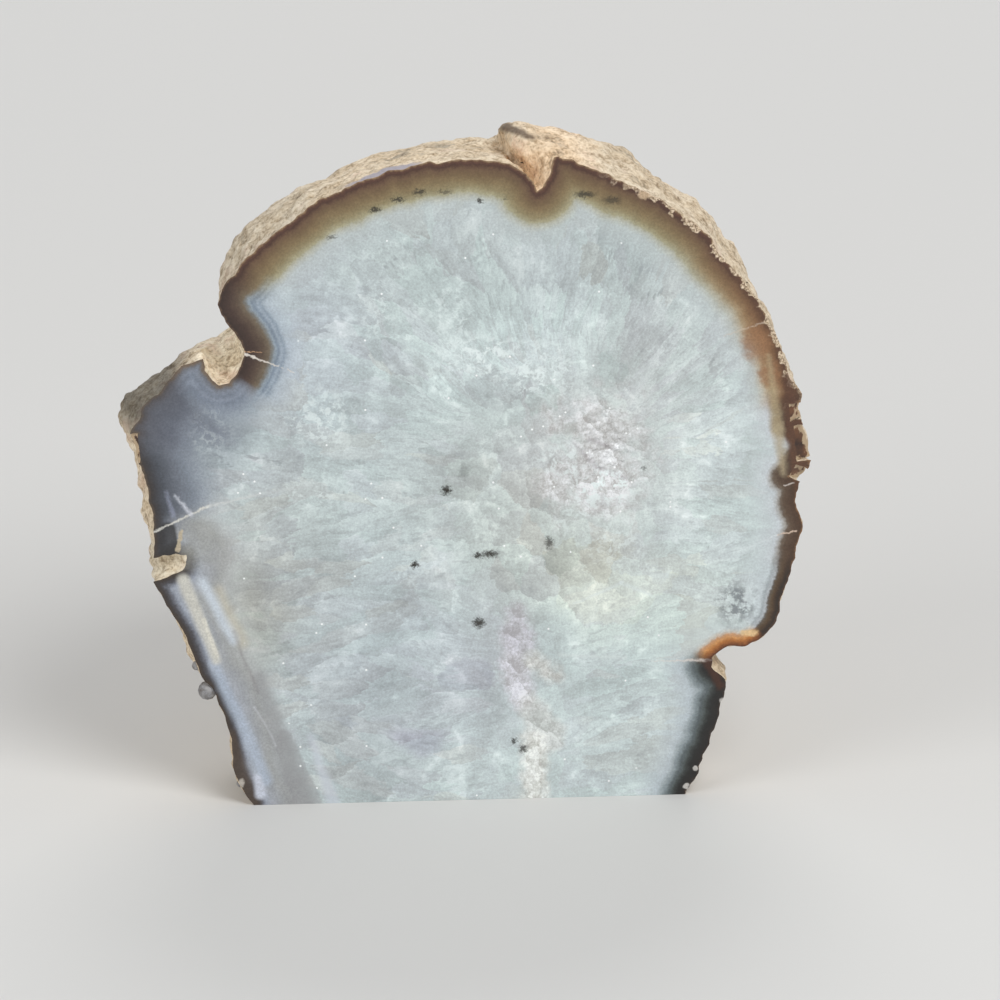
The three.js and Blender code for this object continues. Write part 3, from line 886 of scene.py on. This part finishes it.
# Black and brown specks: a few single ones in the quartz, and a string of them where the bands of
# the crown end. Each has its middle, its reach and how dark it is.
MIDDLE_SPECKS = [
    ((-3.5, 59.8), (1.1, 1.0), 1.0), ((-9.2, 45.7), (0.9, 0.8), 1.0), ((2.4, 47.2), (1.0, 0.7), 0.95),
    ((4.4, 47.4), (1.8, 0.8), 0.95), ((15.1, 49.3), (0.9, 1.4), 0.8), ((2.4, 34.2), (1.3, 1.2), 0.95),
    ((8.8, 11.1), (0.7, 0.7), 0.9), ((10.4, 9.6), (0.9, 1.0), 0.85), ((32.3, 63.2), (0.6, 0.5), 0.6),
    ((-0.1, 63.2), (1.3, 1.8), 0.3),
]
CROWN_SPECKS = [
    ((-23.9, 108.4), (1.3, 0.4), 0.7), ((-16.1, 113.4), (1.3, 0.6), 0.9), ((-12.1, 115.2), (1.6, 0.5), 0.9),
    ((-8.2, 116.5), (1.4, 0.7), 0.85), ((-3.6, 116.5), (1.6, 0.4), 0.6), ((2.6, 114.6), (0.7, 0.6), 0.9),
    ((7.1, 114.9), (0.5, 0.4), 0.5), ((21.4, 115.4), (2.2, 0.7), 0.8), ((26.3, 114.2), (2.0, 0.8), 0.65),
]
SPECK_REACH = 0.78
speck_place = jostled(tree, place, 0.55, 1.9, 2.0, 0.8)


def speckled(tree, specks, colour):
    """A colour with dark specks over it."""
    darkest = 0.0
    for middle, (reach_x, reach_z), amount in specks:
        reach = (reach_x * SPECK_REACH, reach_z * SPECK_REACH)
        speck = patch(tree, speck_place, middle, reach, 0.6, amount)
        darkest = math_step(tree, "MAXIMUM", speck, darkest)
    return tint(tree, darkest, colour, srgb(46, 42, 36))


middle_colour = speckled(tree, MIDDLE_SPECKS, middle_colour)

# Painted sparkles: a few grains painted white, as glints where a grain's own face would catch the light.
painted_glints = cells(tree, place, 1.0)
rarity = math_step(tree, "MULTIPLY_ADD", sugar, -0.05, 0.995)
glint_x, _, _ = split(tree, painted_glints["Color"])
glint_spot = ease(tree, painted_glints["Distance"], 0.24, 0.14)


def painted_sparkles(tree, colour, rarity):
    """A colour with painted white sparkles of light on the few grains that lie above this rarity."""
    sparkle = math_step(tree, "MULTIPLY", math_step(tree, "GREATER_THAN", glint_x, rarity), glint_spot)
    sparkle = math_step(tree, "MULTIPLY", sparkle, ease(tree, from_wall, 8.0, 12.0))
    return tint(tree, sparkle, colour, srgb(250, 252, 252))


middle_colour = painted_sparkles(tree, middle_colour, rarity)

# The rim. Each stretch of it has its own bands, as a depth from the outline in mm, a colour, and how
# much of the quartz behind it covers.
RIM_SPAN = 14
wavering = cloud(tree, place, 7.0, 1.0, 0.5)
ragged = cloud(tree, place, 0.9, 2.0, 0.7)
near_wall = ease(tree, from_wall, 0.3, 4.0)
slow_shift = math_step(tree, "MULTIPLY_ADD", wavering, 1.2, -0.7)
depth = math_step(tree, "MULTIPLY_ADD", slow_shift, near_wall, from_wall)
depth = math_step(tree, "MULTIPLY_ADD", ragged, 0.7, math_step(tree, "SUBTRACT", depth, 0.35))
rim_share = math_step(tree, "DIVIDE", depth, float(RIM_SPAN))
CROWN_BANDS = [
    (0.0, (150, 124, 94), 1), (0.35, (92, 62, 48), 1), (0.9, (76, 50, 40), 1), (1.6, (104, 80, 60), 1),
    (2.6, (115, 94, 67), 1), (3.8, (131, 113, 81), 1), (5.0, (143, 131, 98), 1),
    (5.9, (162, 155, 124), 0.95), (6.7, (180, 180, 166), 0.8), (7.8, (187, 194, 193), 0.6),
    (13, (191, 200, 204), 0),
]
RIGHT_BANDS = [
    (0.0, (140, 112, 84), 1), (0.3, (88, 60, 44), 1), (1.0, (100, 70, 48), 1), (2.0, (128, 94, 64), 1),
    (3.2, (152, 122, 88), 1), (4.2, (172, 150, 118), 0.95), (4.9, (184, 172, 150), 0.85),
    (6.2, (186, 188, 182), 0.6), (8, (190, 196, 198), 0.35), (11, (196, 204, 210), 0),
]
RIGHT_NARROW_BANDS = [
    (0.0, (132, 98, 68), 1), (0.3, (78, 56, 40), 1), (1.0, (78, 58, 44), 1), (2.0, (90, 72, 57), 1),
    (2.6, (106, 93, 80), 1), (3.1, (160, 154, 148), 0.9), (4.0, (200, 202, 208), 0.6), (8.5, (200, 208, 212), 0),
]
RIGHT_FOOT_BANDS = [
    (0.0, (86, 62, 46), 1), (0.4, (48, 39, 33), 1), (0.9, (60, 46, 36), 1), (1.4, (84, 65, 47), 1),
    (1.8, (93, 77, 59), 1), (2.2, (100, 92, 84), 1), (2.6, (178, 182, 186), 0.9), (3.1, (150, 156, 160), 0.8),
    (3.8, (196, 204, 208), 0.7), (10, (200, 210, 211), 0),
]
AMBER_BANDS = [
    (0.0, (84, 50, 32), 1), (0.5, (132, 78, 40), 1), (1.1, (176, 112, 56), 1), (1.7, (204, 148, 92), 1),
    (2.3, (192, 148, 112), 1), (2.8, (204, 190, 172), 0.7), (3.6, (204, 206, 206), 0.2), (4.4, (204, 206, 206), 0),
]
LOBE_BANDS = [
    (0.0, (60, 48, 40), 1), (0.4, (36, 32, 30), 1), (1.6, (38, 38, 37), 1), (2.2, (58, 62, 60), 1),
    (2.8, (86, 94, 94), 1), (3.2, (90, 98, 100), 1), (3.8, (126, 136, 139), 1), (4.4, (146, 156, 160), 0.95),
    (5.4, (182, 191, 198), 0.7), (9, (194, 203, 209), 0),
]
CREASE_BANDS = [
    (0.0, (96, 74, 58), 1), (0.4, (54, 39, 33), 1), (1.8, (68, 51, 44), 1), (3.2, (90, 74, 61), 1),
    (4.2, (110, 98, 82), 1), (4.8, (124, 126, 124), 1), (5.3, (144, 156, 166), 1), (5.8, (124, 137, 151), 1),
    (6.4, (156, 168, 180), 1), (6.9, (134, 147, 161), 0.9), (7.6, (170, 181, 192), 0.8),
    (11.5, (188, 198, 207), 0),
]
UNDER_PLUG_BANDS = [
    (0.0, (108, 90, 74), 1), (0.4, (112, 100, 88), 1), (0.9, (110, 113, 120), 1), (1.5, (128, 135, 147), 0.95),
    (2.1, (116, 124, 138), 0.9), (2.8, (134, 142, 156), 0.9), (3.4, (120, 129, 144), 0.85),
    (4.4, (130, 139, 153), 0.8), (6, (150, 159, 171), 0.6), (9.5, (178, 186, 195), 0),
]
SHOULDER_BANDS = [
    (0.0, (92, 80, 68), 1), (0.6, (80, 76, 78), 1), (2.0, (88, 90, 99), 0.95), (4.0, (88, 91, 102), 0.9),
    (6.0, (94, 98, 110), 0.85), (9.0, (126, 132, 145), 0.6), (13.5, (176, 184, 193), 0),
]
LEFT_BANDS = [
    (0.0, (90, 76, 62), 1), (0.5, (60, 54, 52), 1), (1.4, (62, 62, 66), 1), (2.6, (74, 78, 86), 1),
    (4.0, (92, 97, 106), 1), (5.5, (110, 116, 126), 1), (7.5, (124, 132, 143), 0.95), (9.5, (144, 152, 162), 0.85),
    (11.5, (160, 169, 177), 0.5), (13.5, (176, 185, 192), 0),
]
LOWER_LEFT_BANDS = [
    (0.0, (70, 58, 48), 1), (0.6, (62, 56, 54), 1), (1.2, (78, 77, 82), 1), (1.8, (122, 126, 136), 1),
    (2.5, (162, 168, 179), 1), (3.4, (166, 170, 177), 1), (4.6, (160, 163, 167), 1), (6.4, (162, 163, 162), 0.9),
    (8.0, (178, 179, 180), 0.6), (10.0, (196, 200, 202), 0.25), (13, (203, 209, 211), 0),
]
# Where each stretch takes over from the last one, in degrees from straight up, clockwise. The crown
# comes first on both sides.
RIGHT_STRETCHES = [
    (RIGHT_BANDS, 30.0, 58.0),
    (RIGHT_NARROW_BANDS, 63.0, 69.0),
    (RIGHT_FOOT_BANDS, 93.0, 99.0),
    (AMBER_BANDS, 110.3, 112.0),
    (LOBE_BANDS, 118.2, 120.4),
]
LEFT_STRETCHES = [
    (CREASE_BANDS, -36.0, -44.0),
    (UNDER_PLUG_BANDS, -52.2, -54.8),
    (SHOULDER_BANDS, -56.5, -61.0),
    (LEFT_BANDS, -69.0, -76.0),
    (LOWER_LEFT_BANDS, -83.0, -91.0),
]


def rim_bands(stops):
    """The colour and the cover of one stretch of the rim."""
    return bands(tree, rim_share, [(at / RIM_SPAN, srgb(*colour, cover)) for at, colour, cover in stops])


def rim_over(tree, stretches, colour):
    """The bands of one half of the rim over a colour, and how much of it they cover."""
    rim_colour, rim_cover = rim_bands(CROWN_BANDS)
    for stops, starts, ends in stretches:
        here = ease(tree, around, starts, ends)
        stretch_colour, cover = rim_bands(stops)
        rim_colour = tint(tree, here, rim_colour, stretch_colour)
        rim_cover = blend_number(tree, here, rim_cover, cover)
    return tint(tree, rim_cover, colour, rim_colour), rim_cover


left_colour, left_cover = rim_over(tree, LEFT_STRETCHES, quartz_colour)
right_colour, right_cover = rim_over(tree, RIGHT_STRETCHES, quartz_colour)

# Amber lobes in the right rim, and the tan crust of the rind that laps over its outer edge there.
for middle, reach in (((52.4, 86.6), (2.6, 3.6)), ((54.8, 80.8), (2.0, 2.6))):
    lobe = patch(tree, rough_place, middle, reach, 0.45, 0.8)
    right_colour = tint(tree, lobe, right_colour, srgb(146, 106, 74))
crust_noise = math_step(tree, "MULTIPLY_ADD", cloud(tree, place, 3.0, 2.0, 0.6), 5.0, -2.5)
crust = ease(tree, math_step(tree, "ADD", from_wall, crust_noise), 0.75, 0.35)
crust = math_step(tree, "MULTIPLY", crust, ease(tree, around, 16.0, 26.0, 0.0, 0.9))
crust = math_step(tree, "MULTIPLY", crust, ease(tree, around, 62.0, 68.0, 1.0, 0.0))
crust_colour, _ = bands(tree, dust, [
    (0.3, srgb(128, 106, 84)), (0.55, srgb(206, 184, 154)), (0.7, srgb(232, 214, 190)),
])
right_colour = tint(tree, crust, right_colour, crust_colour)

# Stripes of the lower left, where the bands were cut at a slant: where each starts and ends, its
# width at both ends, how soft it is, its colour and how much of it there is.
STRIPES = [
    ("taupe band", (-37.4, 25.0), (-29.8, -1.0), 2.2, 5.4, 2.4, srgb(151, 152, 153), 0.7),
    ("taupe foot", (-33.0, 13.0), (-28.6, -1.0), 3.0, 5.8, 0.8, srgb(150, 150, 151), 0.5),
    ("lilac-white band beside it", (-28.2, 13.0), (-23.8, -1.0), 1.0, 2.4, 1.6, srgb(204, 209, 219), 0.6),
    ("pale blue band", (-45.6, 27.8), (-36.4, 5.0), 1.6, 2.4, 1.8, srgb(176, 187, 202), 0.8),
    ("cream stripe", (-51.0, 43.6), (-45.2, 28.2), 2.4, 1.6, 1.3, srgb(205, 203, 193), 0.9),
    ("light core of the cream stripe", (-47.4, 36.0), (-45.2, 29.2), 0.9, 0.8, 0.5, srgb(222, 219, 206), 0.7),
    ("blue-white stripe", (-47.6, 43.4), (-42.0, 32.4), 1.8, 2.2, 1.6, srgb(202, 211, 220), 0.85),
    ("warm edge", (-44.6, 41.6), (-40.2, 31.5), 1.4, 1.8, 2.2, srgb(200, 190, 164), 0.5),
    ("dark line inside", (-42.0, 33.6), (-37.6, 22.0), 0.5, 0.4, 1.0, srgb(128, 122, 122), 0.5),
    ("thin light line", (-38.2, 18.8), (-34.4, 11.4), 0.4, 0.3, 0.4, srgb(206, 208, 214), 0.5),
    ("brown streak by the heel", (-42.6, 14.0), (-39.6, 0.5), 1.4, 5.0, 1.6, srgb(78, 66, 57), 0.9),
    ("dark block over the knob", (-53.7, 53.4), (-53.3, 49.6), 3.4, 3.8, 0.8, srgb(50, 49, 50), 0.9),
    ("blue-white drop by the heel", (-37.8, 5.4), (-37.3, 2.2), 1.4, 2.0, 1.0, srgb(205, 210, 222), 0.85),
]
# Healed cracks, white and thin, most of them square to the rim, and tan and brown strokes by them.
LEFT_CRACKS = [
    ("from the left crease", (-39.9, 86.8), (-30.7, 83.0), 0.5, 0.1, 0.25, srgb(226, 218, 208), 0.9),
    ("second from the left crease", (-40.2, 87.2), (-36.4, 86.9), 0.35, 0.1, 0.2, srgb(214, 170, 130), 0.8),
    ("outer part", (-56.1, 53.2), (-46.5, 57.8), 0.35, 0.5, 0.35, srgb(216, 214, 206), 0.85),
    ("inner part", (-46.5, 57.8), (-37.2, 59.9), 0.5, 0.2, 0.5, srgb(212, 214, 212), 0.7),
    ("faint tail", (-40.0, 59.4), (-28.0, 61.4), 0.5, 0.2, 0.9, srgb(208, 212, 212), 0.5),
    ("fan", (-52.3, 60.0), (-49.4, 56.3), 0.3, 0.9, 0.8, srgb(214, 217, 226), 0.7),
    ("second fan", (-53.9, 60.7), (-52.6, 56.2), 0.3, 0.7, 1.0, srgb(160, 166, 186), 0.6),
    ("tail of the knob", (-51.9, 49.6), (-51.2, 53.2), 0.9, 0.5, 0.3, srgb(190, 176, 150), 0.9),
]
RIGHT_CRACKS = [
    ("low", (59.8, 50.4), (56.3, 49.7), 0.3, 0.3, 0.2, srgb(214, 190, 170), 0.85),
    ("faint tail", (56.3, 49.7), (50.4, 47.2), 0.3, 0.1, 0.3, srgb(218, 224, 226), 0.6),
    ("over the low one", (59.3, 59.6), (57.5, 59.1), 0.3, 0.25, 0.2, srgb(214, 204, 196), 0.8),
    ("tan band by the chips", (54.6, 84.0), (56.3, 70.1), 0.6, 2.2, 1.6, srgb(172, 155, 122), 0.75),
    ("tan band by the lower chip", (56.3, 70.1), (57.4, 61.5), 2.2, 0.9, 1.6, srgb(172, 157, 128), 0.75),
    ("brown beside the chips", (57.8, 80.0), (59.6, 69.0), 1.4, 3.6, 1.2, srgb(88, 58, 42), 0.9),
    ("brown beside the lower chip", (59.6, 69.0), (60.6, 58.4), 3.4, 2.2, 1.2, srgb(92, 62, 44), 0.9),
    ("upper", (53.7, 90.4), (46.5, 88.0), 0.3, 0.15, 0.35, srgb(206, 190, 172), 0.6),
    ("from the right crease", (44.7, 25.9), (33.9, 26.0), 0.5, 0.15, 0.35, srgb(224, 214, 206), 0.7),
    ("red-brown foot of the amber", (44.2, 25.4), (46.2, 20.8), 2.0, 1.4, 1.0, srgb(72, 43, 30), 0.8),
]
knob_grain = patch(tree, rough_place, (-48.2, 50.4), (3.4, 4.2), 0.7, 0.7)
left_colour = tint(tree, knob_grain, left_colour, srgb(161, 162, 157))
stripe_place = jostled(tree, place, 9.0, 0.9, 1.0)
left_colour = drawn(tree, STRIPES, stripe_place, left_colour)
left_colour = drawn(tree, LEFT_CRACKS, grain_place, left_colour)
right_colour = drawn(tree, RIGHT_CRACKS, grain_place, right_colour)

# Beads of white and tan grains at the outer edge of the bands.
LEFT_BEADS = [("white bead by the heel", (-40.7, 4.3), (0.5, 0.8), srgb(186, 178, 168))]
RIGHT_BEADS = [
    ("tan pebble in the crown", (32.0, 115.0), (1.1, 0.8), srgb(190, 164, 134)),
    ("light end of the amber", (51.4, 31.0), (1.6, 0.7), srgb(222, 190, 142)),
    ("white bead on the lobe", (40.1, 1.6), (0.55, 0.5), srgb(206, 202, 196)),
    ("white bead over it", (41.7, 5.0), (0.4, 0.5), srgb(196, 192, 186)),
    ("white bead high on the lobe", (46.6, 17.9), (0.5, 0.6), srgb(190, 186, 180)),
]


def beaded(tree, beads, colour):
    """A colour with single grains over it."""
    for _, middle, reach, bead_colour in beads:
        bead = patch(tree, grain_place, middle, reach, 0.3, 0.9)
        colour = tint(tree, bead, colour, bead_colour)
    return colour


left_colour = speckled(tree, CROWN_SPECKS, beaded(tree, LEFT_BEADS, left_colour))
right_colour = speckled(tree, CROWN_SPECKS, beaded(tree, RIGHT_BEADS, right_colour))

# The dark mottled patch over the right crease.
mottled = patch(tree, rough_place, (48.9, 36.6), (3.4, 4.0), 0.5, 0.9)
mottled = math_step(tree, "MULTIPLY", mottled, ease(tree, mottling, 0.6, 0.36))
right_colour = tint(tree, mottled, right_colour, srgb(126, 132, 135))

# The dark parts of the rim are grainy too.
SPARKLE_RARITY = 0.995
shading = ease(tree, dust, 0.2, 0.8, 0.89, 1.11)
shading = math_step(tree, "MULTIPLY", shading, ease(tree, mottling, 0.35, 0.65, 0.94, 1.06))


def grainy(tree, colour, cover):
    """A colour with painted sparkles of light, darker and lighter from grain to grain where the rim covers it."""
    colour = painted_sparkles(tree, colour, SPARKLE_RARITY)
    return tint(tree, cover, colour, vector_step(tree, "SCALE", colour, scale=shading))


left_colour = grainy(tree, left_colour, left_cover)
right_colour = grainy(tree, right_colour, right_cover)

# The bands of the rim end well outside the middle of the face and the sugary quartz lies inside it, so
# the middle and both halves of the rim each have their own tree, without what they don't show.
def prune(tree):
    """Takes out the nodes that feed nothing."""
    used = set()
    waiting = [tree.nodes["Material Output"]]
    while waiting:
        node = waiting.pop()
        if node.name not in used:
            used.add(node.name)
            waiting.extend(link.from_node for socket in node.inputs for link in socket.links)
    for node in [node for node in tree.nodes if node.name not in used]:
        tree.nodes.remove(node)


def only(name, colour, roughness):
    """A copy of the polished quartz that shows one of its colours and keeps only what feeds it."""
    copied = quartz.copy()
    copied.name = name
    shown = copied.node_tree
    for socket_name, source in (("Base Color", colour), ("Roughness", roughness)):
        if isinstance(source, bpy.types.NodeSocket):
            which = list(source.node.outputs).index(source)
            source = shown.nodes[source.node.name].outputs[which]
        feed(shown, shown.nodes[shader.name].inputs[socket_name], source)
    prune(shown)
    return copied


# The polish is even over the rim and the fibres, and breaks up over the sugary grains.
POLISH = 0.3
middle_roughness = math_step(tree, "MULTIPLY_ADD", sugar, 0.25, POLISH)
quartz_middle = only("polished quartz of the middle", middle_colour, middle_roughness)
quartz_left = only("polished quartz of the left rim", left_colour, POLISH)
quartz_right = only("polished quartz of the right rim", right_colour, POLISH)
bpy.data.materials.remove(quartz)

# The rind. A thin weathered crust, tan and gritty, with olive grey and pinkish patches, that the
# stone kept from the lava it grew in.
rind, tree, shader, place = new_surface("weathered rind", 0.88)
TAN_RIND = srgb(224, 205, 176)
PALE_RIND = srgb(240, 225, 200)
GREY_RIND = srgb(180, 168, 148)
PINK_RIND = srgb(226, 202, 178)
patches = cloud(tree, place, 8.0, 4.0, 0.65)
sand = cells(tree, jostled(tree, place, 1.3, 0.7), 1.0)["Distance"]
lumps = cloud(tree, place, 2.8, 4.0, 0.75)
grains = weighed(tree, [(sand, -0.16), (cloud(tree, place, 0.5, 1.0, 0.5), 0.35), (lumps, 0.6)])
rind_colour, _ = bands(tree, patches, [
    (0.32, GREY_RIND), (0.43, TAN_RIND), (0.56, PALE_RIND), (0.68, PINK_RIND),
])
rind_x, rind_y, rind_z = split(tree, place)
# Tones over the rind: the middle of each as x and z, its reach, and the share of light that the rind keeps there.
# The shoulder and the rind left of the crown are darkened as painted shade; the plug is lighter rind with painted
# light on it.
RIND_TONES = [
    ("pale plug with painted light", (-42.8, 86.5), (6.0, 4.6), (1.2, 1.27, 1.33)),
    ("painted shade on the shoulder", (-58, 79), (10, 7), (0.27, 0.285, 0.3)),
    ("painted shade left of the crown", (-38, 108), (15, 14), (0.84, 0.86, 0.88)),
    ("pale knob", (-54.4, 46.5), (4.5, 4.0), (0.97, 1.02, 1.06)),
    ("pinkish flank of the crease", (16, 119), (7, 6), (1.18, 1.1, 1.04)),
]
tone_place = joined(tree, rind_x, rind_z)
for _, middle, reach, kept in RIND_TONES:
    share = patch(tree, tone_place, middle, reach, 0.5)
    rind_colour = tint(tree, share, rind_colour, (*kept, 1), "MULTIPLY")
# The grit is darker where it lies lower, by the same height that the bump uses: the grit's own tone, with painted
# shade in its pits and gaps.
grit_and_pit_shade, _ = bands(tree, grains, [
    (0.3, srgb(150, 138, 125)), (0.42, srgb(208, 201, 192)), (0.5, srgb(238, 235, 231)), (0.6, srgb(255, 255, 255)),
])
rind_colour = tint(tree, 0.95, rind_colour, grit_and_pit_shade, "MULTIPLY")
behind_face = math_step(tree, "ADD", rind_y, -POLISH_Y / MM)
scar_place = jostled(tree, joined(tree, rind_x, behind_face), 1.6, 1.0)
scar = patch(tree, scar_place, (-14.5, 0.9), (6.6, 1.3), 0.3)
# Painted shade: a dark brown stroke in the hollow under the horn's tip, laid where that hollow is seen from the
# front.
seen_height = math_step(tree, "MULTIPLY_ADD", behind_face, 0.36, rind_z)
shaded_hollow_place = jostled(tree, joined(tree, rind_x, seen_height), 1.3, 0.8)
hollow = stroke(tree, shaded_hollow_place, (8.4, 128.8), (12.6, 126.4), (1.8, 1.0), 1.0, 0.85)
rind_colour = tint(tree, hollow, rind_colour, srgb(92, 76, 62))
high_up = math_step(tree, "GREATER_THAN", rind_z, 100.0)
rind_colour = tint(tree, math_step(tree, "MULTIPLY", scar, high_up), rind_colour, srgb(168, 162, 168))
feed(tree, shader.inputs["Base Color"], rind_colour)
bump = tree.nodes.new("ShaderNodeBump")
feed(tree, bump.inputs["Strength"], 1.0)
feed(tree, bump.inputs["Distance"], 0.45 * MM)
feed(tree, bump.inputs["Height"], grains)
feed(tree, shader.inputs["Normal"], bump.outputs["Normal"])

# The pearls. Small beads of grey chalcedony that grew on the outside of the rim and kept their skin.
pearl, tree, shader, place = new_surface("chalcedony pearl", 0.5)
pearl_tone = cloud(tree, place, 1.1, 3.0, 0.6)
pearl_colour, _ = bands(tree, pearl_tone, [
    (0.35, srgb(108, 102, 98)), (0.5, srgb(138, 137, 138)), (0.65, srgb(160, 158, 158)),
])
feed(tree, shader.inputs["Base Color"], pearl_colour)

# The sawn base. Cut flat and left as the saw left it, so it is matt; the faint arcs of the saw are not drawn, only
# a soft cloudy tone.
base, tree, shader, place = new_surface("sawn base", 0.7)
base_tone = cloud(tree, place, 9.0, 4.0, 0.6)
base_colour, _ = bands(tree, base_tone, [(0.4, srgb(168, 172, 172)), (0.6, srgb(196, 202, 202))])
feed(tree, shader.inputs["Base Color"], base_colour)

# The chips. Where a flake sprang off the rim, the fresh break is dark brown chalcedony, smooth as
# glass but dull beside the polish.
chip, tree, shader, place = new_surface("chipped rim", 0.42)
chip_tone = cloud(tree, place, 3.0, 3.0, 0.5)
chip_colour, _ = bands(tree, chip_tone, [(0.35, srgb(58, 38, 28)), (0.6, srgb(112, 74, 48))])
chip_edge = math_step(tree, "MULTIPLY_ADD", cloud(tree, place, 1.4, 3.0, 0.7), 3.0, -1.5)
chip_edge = ease(tree, math_step(tree, "ADD", attribute(tree, "rim"), chip_edge), 0.8, 0.4, 0.0, 0.85)
chip_colour = tint(tree, chip_edge, chip_colour, srgb(196, 172, 140))
feed(tree, shader.inputs["Base Color"], chip_colour)

for surface in (quartz_left, base, rind, quartz_middle, chip, pearl, quartz_middle, quartz_right):
    stone_mesh.materials.append(surface)

# The middle is where no stripe or band reaches, so far in from the outline and from the left.
MIDDLE = 6
RIGHT = 7
MIDDLE_DEPTH = 15
MIDDLE_LEFT = -21
from_outline = [item.value for item in stone_mesh.attributes["rim"].data]
for face in stone_mesh.polygons:
    if face.material_index == FACE:
        shallowest = min(from_outline[index] for index in face.vertices)
        left_most = min(stone_mesh.vertices[index].co.x for index in face.vertices) / MM
        if shallowest > MIDDLE_DEPTH and left_most > MIDDLE_LEFT:
            face.material_index = MIDDLE
        elif left_most > 0:
            face.material_index = RIGHT
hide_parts("agate")
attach(agate, "root")

# The floor. A plain pale sheet that runs well past the stone on every side.
FLOOR_RADIUS = 6
floor_form = bmesh.new()
bmesh.ops.create_circle(floor_form, cap_ends=True, segments=64, radius=FLOOR_RADIUS)
floor_mesh = bpy.data.meshes.new("floor")
floor_form.to_mesh(floor_mesh)
floor_form.free()
floor = bpy.data.objects.new("floor", floor_mesh)
floor.location.z = -0.02 * MM
bpy.context.scene.collection.objects.link(floor)
floor_paint = bpy.data.materials.new("pale floor")
floor_paint.use_nodes = True
floor_shader = floor_paint.node_tree.nodes["Principled BSDF"]
floor_shader.inputs["Base Color"].default_value = srgb(214, 213, 210)
floor_shader.inputs["Roughness"].default_value = 0.9
floor_mesh.materials.append(floor_paint)
floor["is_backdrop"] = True

# The light. One large soft box from the upper right in front, a weaker one from the left, one behind,
# and a pale sky that fills the shadows.
LIGHTS = [
    ("key", (0.55, -0.95, 1.25), 0.9, 14.0),
    ("fill", (-1.1, -0.8, 0.7), 1.0, 7.0),
    ("back", (0.2, 1.2, 1.1), 1.0, 9.0),
]
LIGHT_TARGET = Vector((0, 0, 0.06))
for name, at, size, power in LIGHTS:
    lamp = bpy.data.lights.new(name, "AREA")
    lamp.shape = "DISK"
    lamp.size = size
    lamp.energy = power
    lamp_object = bpy.data.objects.new(name, lamp)
    lamp_object.location = at
    lamp_object.rotation_euler = (LIGHT_TARGET - Vector(at)).to_track_quat("-Z", "Y").to_euler()
    bpy.context.scene.collection.objects.link(lamp_object)
sky = bpy.data.worlds.new("sky")
sky.use_nodes = True
sky.node_tree.nodes["Background"].inputs["Color"].default_value = srgb(228, 230, 234)
sky.node_tree.nodes["Background"].inputs["Strength"].default_value = 0.45
bpy.context.scene.world = sky
bpy.context.scene.view_settings.view_transform = "Standard"

# The camera. It looks down on the face from the front, a little to the left of square, through a
# long lens.
AZIMUTH = math.radians(-4)
ELEVATION = math.radians(20)
DISTANCE = 2.5
LENS = 500
SENSOR = 36
CLIP = (0.1, 20)
LOOK_AT = Vector((6.22 * MM, POLISH_Y, 57.7 * MM))
back = Vector((
    math.sin(AZIMUTH) * math.cos(ELEVATION),
    -math.cos(AZIMUTH) * math.cos(ELEVATION),
    math.sin(ELEVATION),
))
camera_data = bpy.data.cameras.new("camera")
camera_data.lens = LENS
camera_data.sensor_width = SENSOR
camera_data.clip_start, camera_data.clip_end = CLIP
camera = bpy.data.objects.new("camera", camera_data)
camera.location = LOOK_AT + back * DISTANCE
camera.rotation_euler = (-back).to_track_quat("-Z", "Y").to_euler()
bpy.context.scene.collection.objects.link(camera)
bpy.context.scene.camera = camera

low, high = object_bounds()
print("triangles", len(stone_mesh.polygons))
